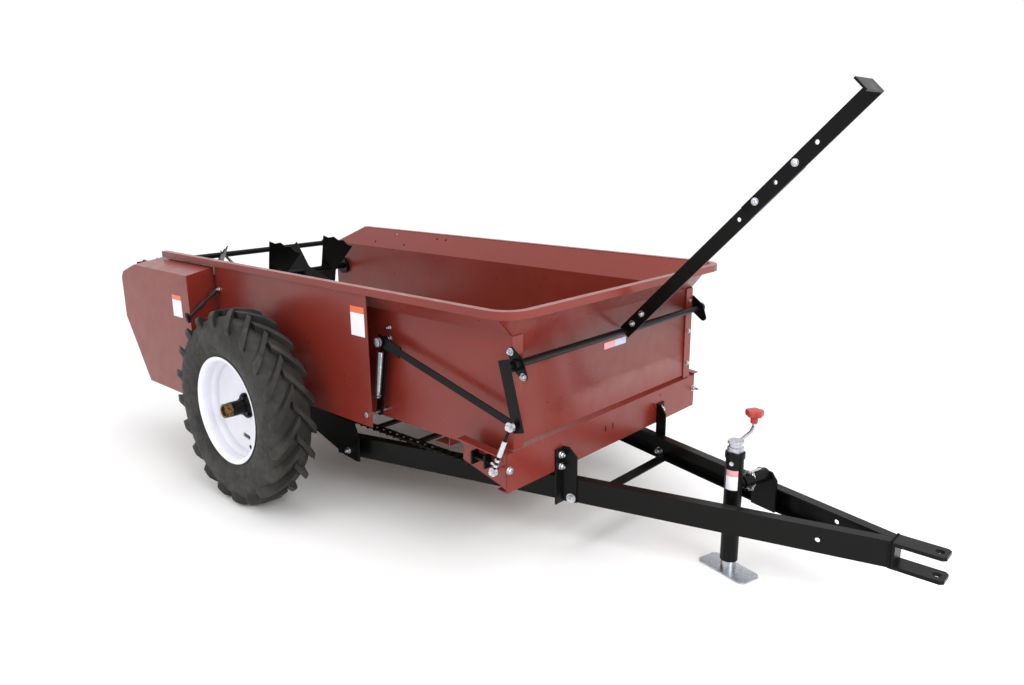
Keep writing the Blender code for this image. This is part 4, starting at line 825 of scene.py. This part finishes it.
stand_for("relay_spring", "relay_coil_spring", build, [SPRING_STEEL])

# %% Relay pivot bolt and roller
pivot_low, pivot_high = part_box("relay_pivot_bolt")
pivot = (pivot_low + pivot_high) / 2
build = bmesh.new()
rod = [Vector((pivot.x, pivot_high.y, pivot.z)), Vector((pivot.x, pivot_low.y + 0.012, pivot.z))]
sweep(build, rod, min(0.008, (pivot_high.z - pivot_low.z) / 2), 20)
bolt(build, Vector((pivot.x, pivot_low.y + 0.013, pivot.z)), (0, -1, 0), 0.019)
stand_for("relay_pivot_bolt", "relay_pivot", build, [ZINC])

# %% Holding link
link_top, link_foot = at(1.314, -0.654, 0.580), at(1.238, -0.654, 0.408)
reach = (link_top - link_foot).normalized()
build = bmesh.new()
sweep(build, [link_foot + reach * 0.016, link_top - reach * 0.014], 0.0055, 14)
sweep(build, [link_foot.lerp(link_top, 0.36), link_foot.lerp(link_top, 0.70)], 0.0092, 16, material=1)
for place, outer in ((link_top, 0.0160), (link_foot, 0.0150)):
    ring = ((outer, -0.0055), (outer, 0.0055))
    rings = turning(build, (*ring, (0.0078, 0.0055), (0.0078, -0.0055)), place, (0, 1, 0), 28, 1)
    ring_faces(build, rings[-1], rings[0], 1)
bolt(build, link_top + Vector((0, -0.0055, 0)), (0, -1, 0), 0.018, material=1)
bolt(build, link_foot + Vector((0, -0.0055, 0)), (0, -1, 0), 0.016, material=1)
for share in (0.16, 0.27):
    nut = ((0.0098, -0.005), (0.0098, 0.005))
    solid_turning(build, nut, link_foot.lerp(link_top, share), reach, 6, 1)
stand_for("holding_spring", "holding_rod", build, [BLACK_COAT, ZINC])

# %% [markdown]
# ## The drive guards' latches
#
# A short rubber strap is hooked over a bolt on the shield and pulled to a T-shaped grip. It is
# thick at both ends and thin between, so that it can stretch.

# %% Latches
for side, word in SIDES:
    hook, grip = at(-0.432, side * 0.676, 0.810), at(-0.443, side * 0.812, 0.706)
    shares = (0, 0.16, 0.24, 0.40, 0.48, 0.60, 0.68, 0.90, 1.0)
    thickness = (0.0105, 0.0105, 0.0062, 0.0062, 0.0115, 0.0115, 0.0066, 0.0078, 0.0105)
    build = bmesh.new()
    sweep(build, [hook.lerp(grip, share) for share in shares], thickness, 14)
    across = Vector((0.012, side * 0.010, 0.021))
    handle = [grip + across * share for share in (-1.0, -0.5, 0.5, 1.0)]
    sweep(build, handle, (0.0075, 0.0095, 0.0095, 0.0075), 14)
    stand_for(f"guard_latch_{word}", f"latch_strap_{word}", build, [STRAP_RUBBER])

# %% [markdown]
# ## The tongue jack
#
# A cast head carries the screw, a bent rod is the crank and a fluted plastic knob is its grip.

# %% Jack head, crank and knob
head_low, head_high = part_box("jack_head")
head_middle = (head_low + head_high) / 2
head_r = min(head_high.x - head_low.x, head_high.y - head_low.y) / 2
tall = head_high.z - head_low.z
build = bmesh.new()
casting = (
    (0.92, 0.0), (0.95, 0.04), (0.95, 0.45), (0.78, 0.52), (0.78, 0.74), (0.95, 0.80), (0.95, 0.96),
    (0.90, 1.0),
)
solid_turning(build, [(head_r * r, tall * z) for r, z in casting],
              Vector((head_middle.x, head_middle.y, head_low.z)), OUT_UP, 48, lobes=4, depth=0.05)
stand_for("jack_head", "jack_cast_head", build, [CAST_ZINC])

knob_low, knob_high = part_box("crank_knob")
knob = (knob_low + knob_high) / 2
knob_r = min(knob_high.x - knob_low.x, knob_high.y - knob_low.y) / 2
tall = knob_high.z - knob_low.z
build = bmesh.new()
grip = (
    (0.36, 0.0), (0.38, 0.40), (0.48, 0.46), (0.86, 0.52), (0.90, 0.60), (0.90, 0.84), (0.80, 0.92),
    (0.30, 0.95),
)
solid_turning(build, [(knob_r * r, tall * z) for r, z in grip],
              Vector((knob.x, knob.y, knob_low.z)), OUT_UP, 60, lobes=5, depth=0.10)
stand_for("crank_knob", "knob_grip", build, [KNOB_PLASTIC])

_, crank_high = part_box("jack_crank")
build = bmesh.new()
elbow = Vector((knob.x, crank_high.y - 0.007, min(head_high.z, crank_high.z - 0.02)))
root = Vector((head_middle.x, head_middle.y, head_high.z - 0.012))
path = [root, root.lerp(elbow, 0.25), root.lerp(elbow, 0.85)]
path += [Vector((knob.x, knob.y, elbow.z + 0.012)), Vector((knob.x, knob.y, knob_low.z + 0.002))]
sweep(build, path, 0.0068, 16)
stand_for("jack_crank", "bent_crank", build, [ZINC])

JACK, TUBE_SKIN = at(1.773, -0.045, 0), 0.0302
build = bmesh.new()
collar = ((TUBE_SKIN, 0.414), (0.0335, 0.4145), (0.0335, 0.4325), (TUBE_SKIN, 0.433))
rings = turning(build, collar, JACK, OUT_UP, 48)
ring_faces(build, rings[-1], rings[0])
finish_piece("jack_collar", build, [BLACK_COAT], body_of_node["jack_tube"])

build = bmesh.new()
facing = Vector((0.12, -0.993, 0))
bolt(build, JACK + Vector((0, 0, 0.400)) + facing * TUBE_SKIN, facing, 0.010)
finish_piece("jack_collar_bolt", build, [ZINC], body_of_node["jack_tube"])

# %% [markdown]
# The pin that locks the jack hangs on a short chain. Each link is a small oval loop of wire, and
# every second one is turned a quarter round so that it can pass through its neighbour.

# %% Pin chain
PLATE_NORMAL = Vector((-0.257, -0.966, 0))
PLATE_ALONG = Vector((0.966, -0.257, 0))
hang = at(1.800, 0.046, 0.342)
build = bmesh.new()
sweep(build, [hang - PLATE_NORMAL * 0.034, hang + PLATE_NORMAL * 0.030], 0.0045, 14)
solid_turning(build, ((0.009, 0.0), (0.009, 0.003)), hang + PLATE_NORMAL * 0.026, PLATE_NORMAL, 24)
CHAIN_LINKS, LOOP_DROP, LOOP_WIDTH = 16, 0.066, 0.017
places = []
for i in range(CHAIN_LINKS + 1):
    turn = 2 * pi * i / CHAIN_LINKS
    drop = LOOP_DROP * (1 - cos(turn)) / 2
    aside = PLATE_ALONG * (LOOP_WIDTH * sin(turn))
    places.append(hang + PLATE_NORMAL * 0.012 + aside - Vector((0, 0, drop)))
for i, (near, far) in enumerate(zip(places, places[1:])):
    middle, heading = (near + far) / 2, (far - near)
    long_half = heading.length * 0.62
    heading.normalize()
    wide = PLATE_NORMAL if i % 2 else PLATE_NORMAL.cross(heading).normalized()
    loop = [middle + heading * (long_half * cos(2 * pi * k / 12)) + wide * (0.0042 * sin(2 * pi * k / 12))
            for k in range(12)]
    sweep(build, loop, 0.0013, 6, closed=True)
finish_piece("jack_pin_chain", build, [ZINC], body_of_node["jack_bracket"])
print("jack dressed")

# %% [markdown]
# ## The lever's holes and bolts
#
# The lever is two lengths of flat bar bolted together, with spare holes to set its length. Holes
# are cut with a Boolean, which needs a cutter longer than the bar is thick.

# %% Lever holes and bolts
build = bmesh.new()
for x, z in ((1.694, 1.190), (1.810, 1.312), (1.931, 1.433)):
    solid_turning(build, ((0.0075, -0.03), (0.0075, 0.03)), at(x, 0.044, z), (0, 1, 0), 24)
cut_through(softened["control_lever"], build)
LOWER_BAR_FACE, UPPER_BAR_FACE = 0.0374, 0.0309
LEVER_BOLTS = (
    (1.296, 0.787, LOWER_BAR_FACE), (1.335, 0.829, LOWER_BAR_FACE),
    (1.748, 1.251, UPPER_BAR_FACE), (1.869, 1.373, UPPER_BAR_FACE),
)
build = bmesh.new()
for x, z, face in LEVER_BOLTS:
    bolt(build, at(x, face, z), (0, -1, 0), 0.017, 0.004)
finish_piece("lever_bolts", build, [ZINC], body_of_node["control_lever"])

# %% [markdown]
# The apron's chains are kept tight by a threaded rod between two small plates at each front corner.

# %% Chain adjusters
for side, word in SIDES:
    near, far = sorted((side * 0.6080, side * 0.6380))
    build = bmesh.new()
    for x in (1.118, 1.178):
        brick(build, (AXLE_X + x, near, 0.398), (AXLE_X + x + 0.008, far, 0.444))
    post_near, post_far = sorted((side * 0.6075, side * 0.6180))
    brick(build, (AXLE_X + 1.125, post_near, 0.412), (AXLE_X + 1.180, post_far, 0.430))
    sweep(build, [at(1.112, side * 0.626, 0.421), at(1.212, side * 0.626, 0.421)], 0.0055, 14)
    solid_turning(build, ((0.0098, 0.0), (0.0098, 0.009)), at(1.1863, side * 0.626, 0.421), OUT_X, 6)
    solid_turning(build, ((0.0058, 0.0), (0.0058, 0.010)), at(1.205, side * 0.626, 0.421), OUT_X, 14, 1)
    stand_for(f"chain_adjuster_{word}", f"tightener_{word}", build, [BLACK_COAT, ZINC])

# %% [markdown]
# Where the hitch meets the rails it is welded, which leaves a bead with small ripples, one for
# every moment that the welder paused.

# %% Weld beads
BEAD_X, BEAD_STEPS, BEAD_RADIUS, RIPPLE = 2.2795, 60, 0.0030, 0.0007
build = bmesh.new()
sizes = [BEAD_RADIUS + RIPPLE * sin(i * 1.4) for i in range(BEAD_STEPS)]
shares = [i / (BEAD_STEPS - 1) for i in range(BEAD_STEPS)]
for side, _ in SIDES:
    sweep(build, [at(BEAD_X, side * 0.0375, 0.192 + 0.083 * share) for share in shares], sizes, 8)
sweep(build, [at(BEAD_X, -0.034 + 0.068 * share, 0.2765) for share in shares], sizes, 8)
finish_piece("hitch_weld_beads", build, [BLACK_COAT], "frame")

# %% [markdown]
# ## Blank labels
#
# Each label is a blank film that stands about half a millimetre proud of what it is stuck to.
# Those on the shields and guards have an orange band along their top, and the jack's has a pink
# one. The front panel has a pink label and a pale blue one, side by side.


# %% Labels
def label(name, low, high, finishes, body, band=0.0):
    """A thin film between two corners; band is the share of its height that is coloured."""
    build = bmesh.new()
    split = high[2] - (high[2] - low[2]) * band
    brick(build, low, (high[0], high[1], split), 0)
    if band:
        brick(build, (low[0], low[1], split), high, 1)
    return finish_piece(name, build, finishes, body)


for side, word in SIDES:
    near, far = sorted((side * 0.6600, side * 0.6606))
    label(f"shield_label_{word}", (AXLE_X + 0.53, near, 0.756), (AXLE_X + 0.61, far, 0.866),
          [WHITE_FILM, ORANGE_FILM], "frame", 0.22)
    near, far = sorted((side * 0.7985, side * 0.8006))
    label(f"guard_label_{word}", (AXLE_X - 0.60, near, 0.693), (AXLE_X - 0.516, far, 0.791),
          [WHITE_FILM, ORANGE_FILM], f"guard_{word}", 0.22)
label("front_label_near", (AXLE_X + 1.2415, -0.060, 0.697), (AXLE_X + 1.2421, 0.010, 0.722),
      [PINK_FILM], "frame")
label("front_label_far", (AXLE_X + 1.2415, 0.010, 0.697), (AXLE_X + 1.2421, 0.080, 0.722),
      [BLUE_FILM], "frame")

# The jack's label wraps round part of its tube.
build = bmesh.new()
rows = []
for z in (0.306, 0.354, 0.376):
    row = []
    for radius in (TUBE_SKIN, 0.0307):
        for k in range(13):
            turn = -1.36 + 1.40 * (k / 12 - 0.5)
            corner = JACK + Vector((radius * cos(turn), radius * sin(turn), z))
            row.append(build.verts.new(corner))
    rows.append(row[:13] + row[:12:-1])
for near, far, finish in zip(rows, rows[1:], (0, 1)):
    ring_faces(build, near, far, finish)
cap(build, rows[0])
cap(build, list(reversed(rows[-1])), 1)
finish_piece("jack_label", build, [WHITE_FILM, PINK_FILM], body_of_node["jack_tube"])
print("labels placed")

# %% [markdown]
# ## Studio floor
#
# The studio floor is a pale sheet.

# %% Studio floor
build = bmesh.new()
brick(build, (-30, -30, -0.02), (30, 30, 0.0))
mesh = bpy.data.meshes.new("studio_floor")
build.to_mesh(mesh)
build.free()
mesh.materials.append(STUDIO_PAPER)
studio_floor = bpy.data.objects.new("studio_floor", mesh)
bpy.context.scene.collection.objects.link(studio_floor)
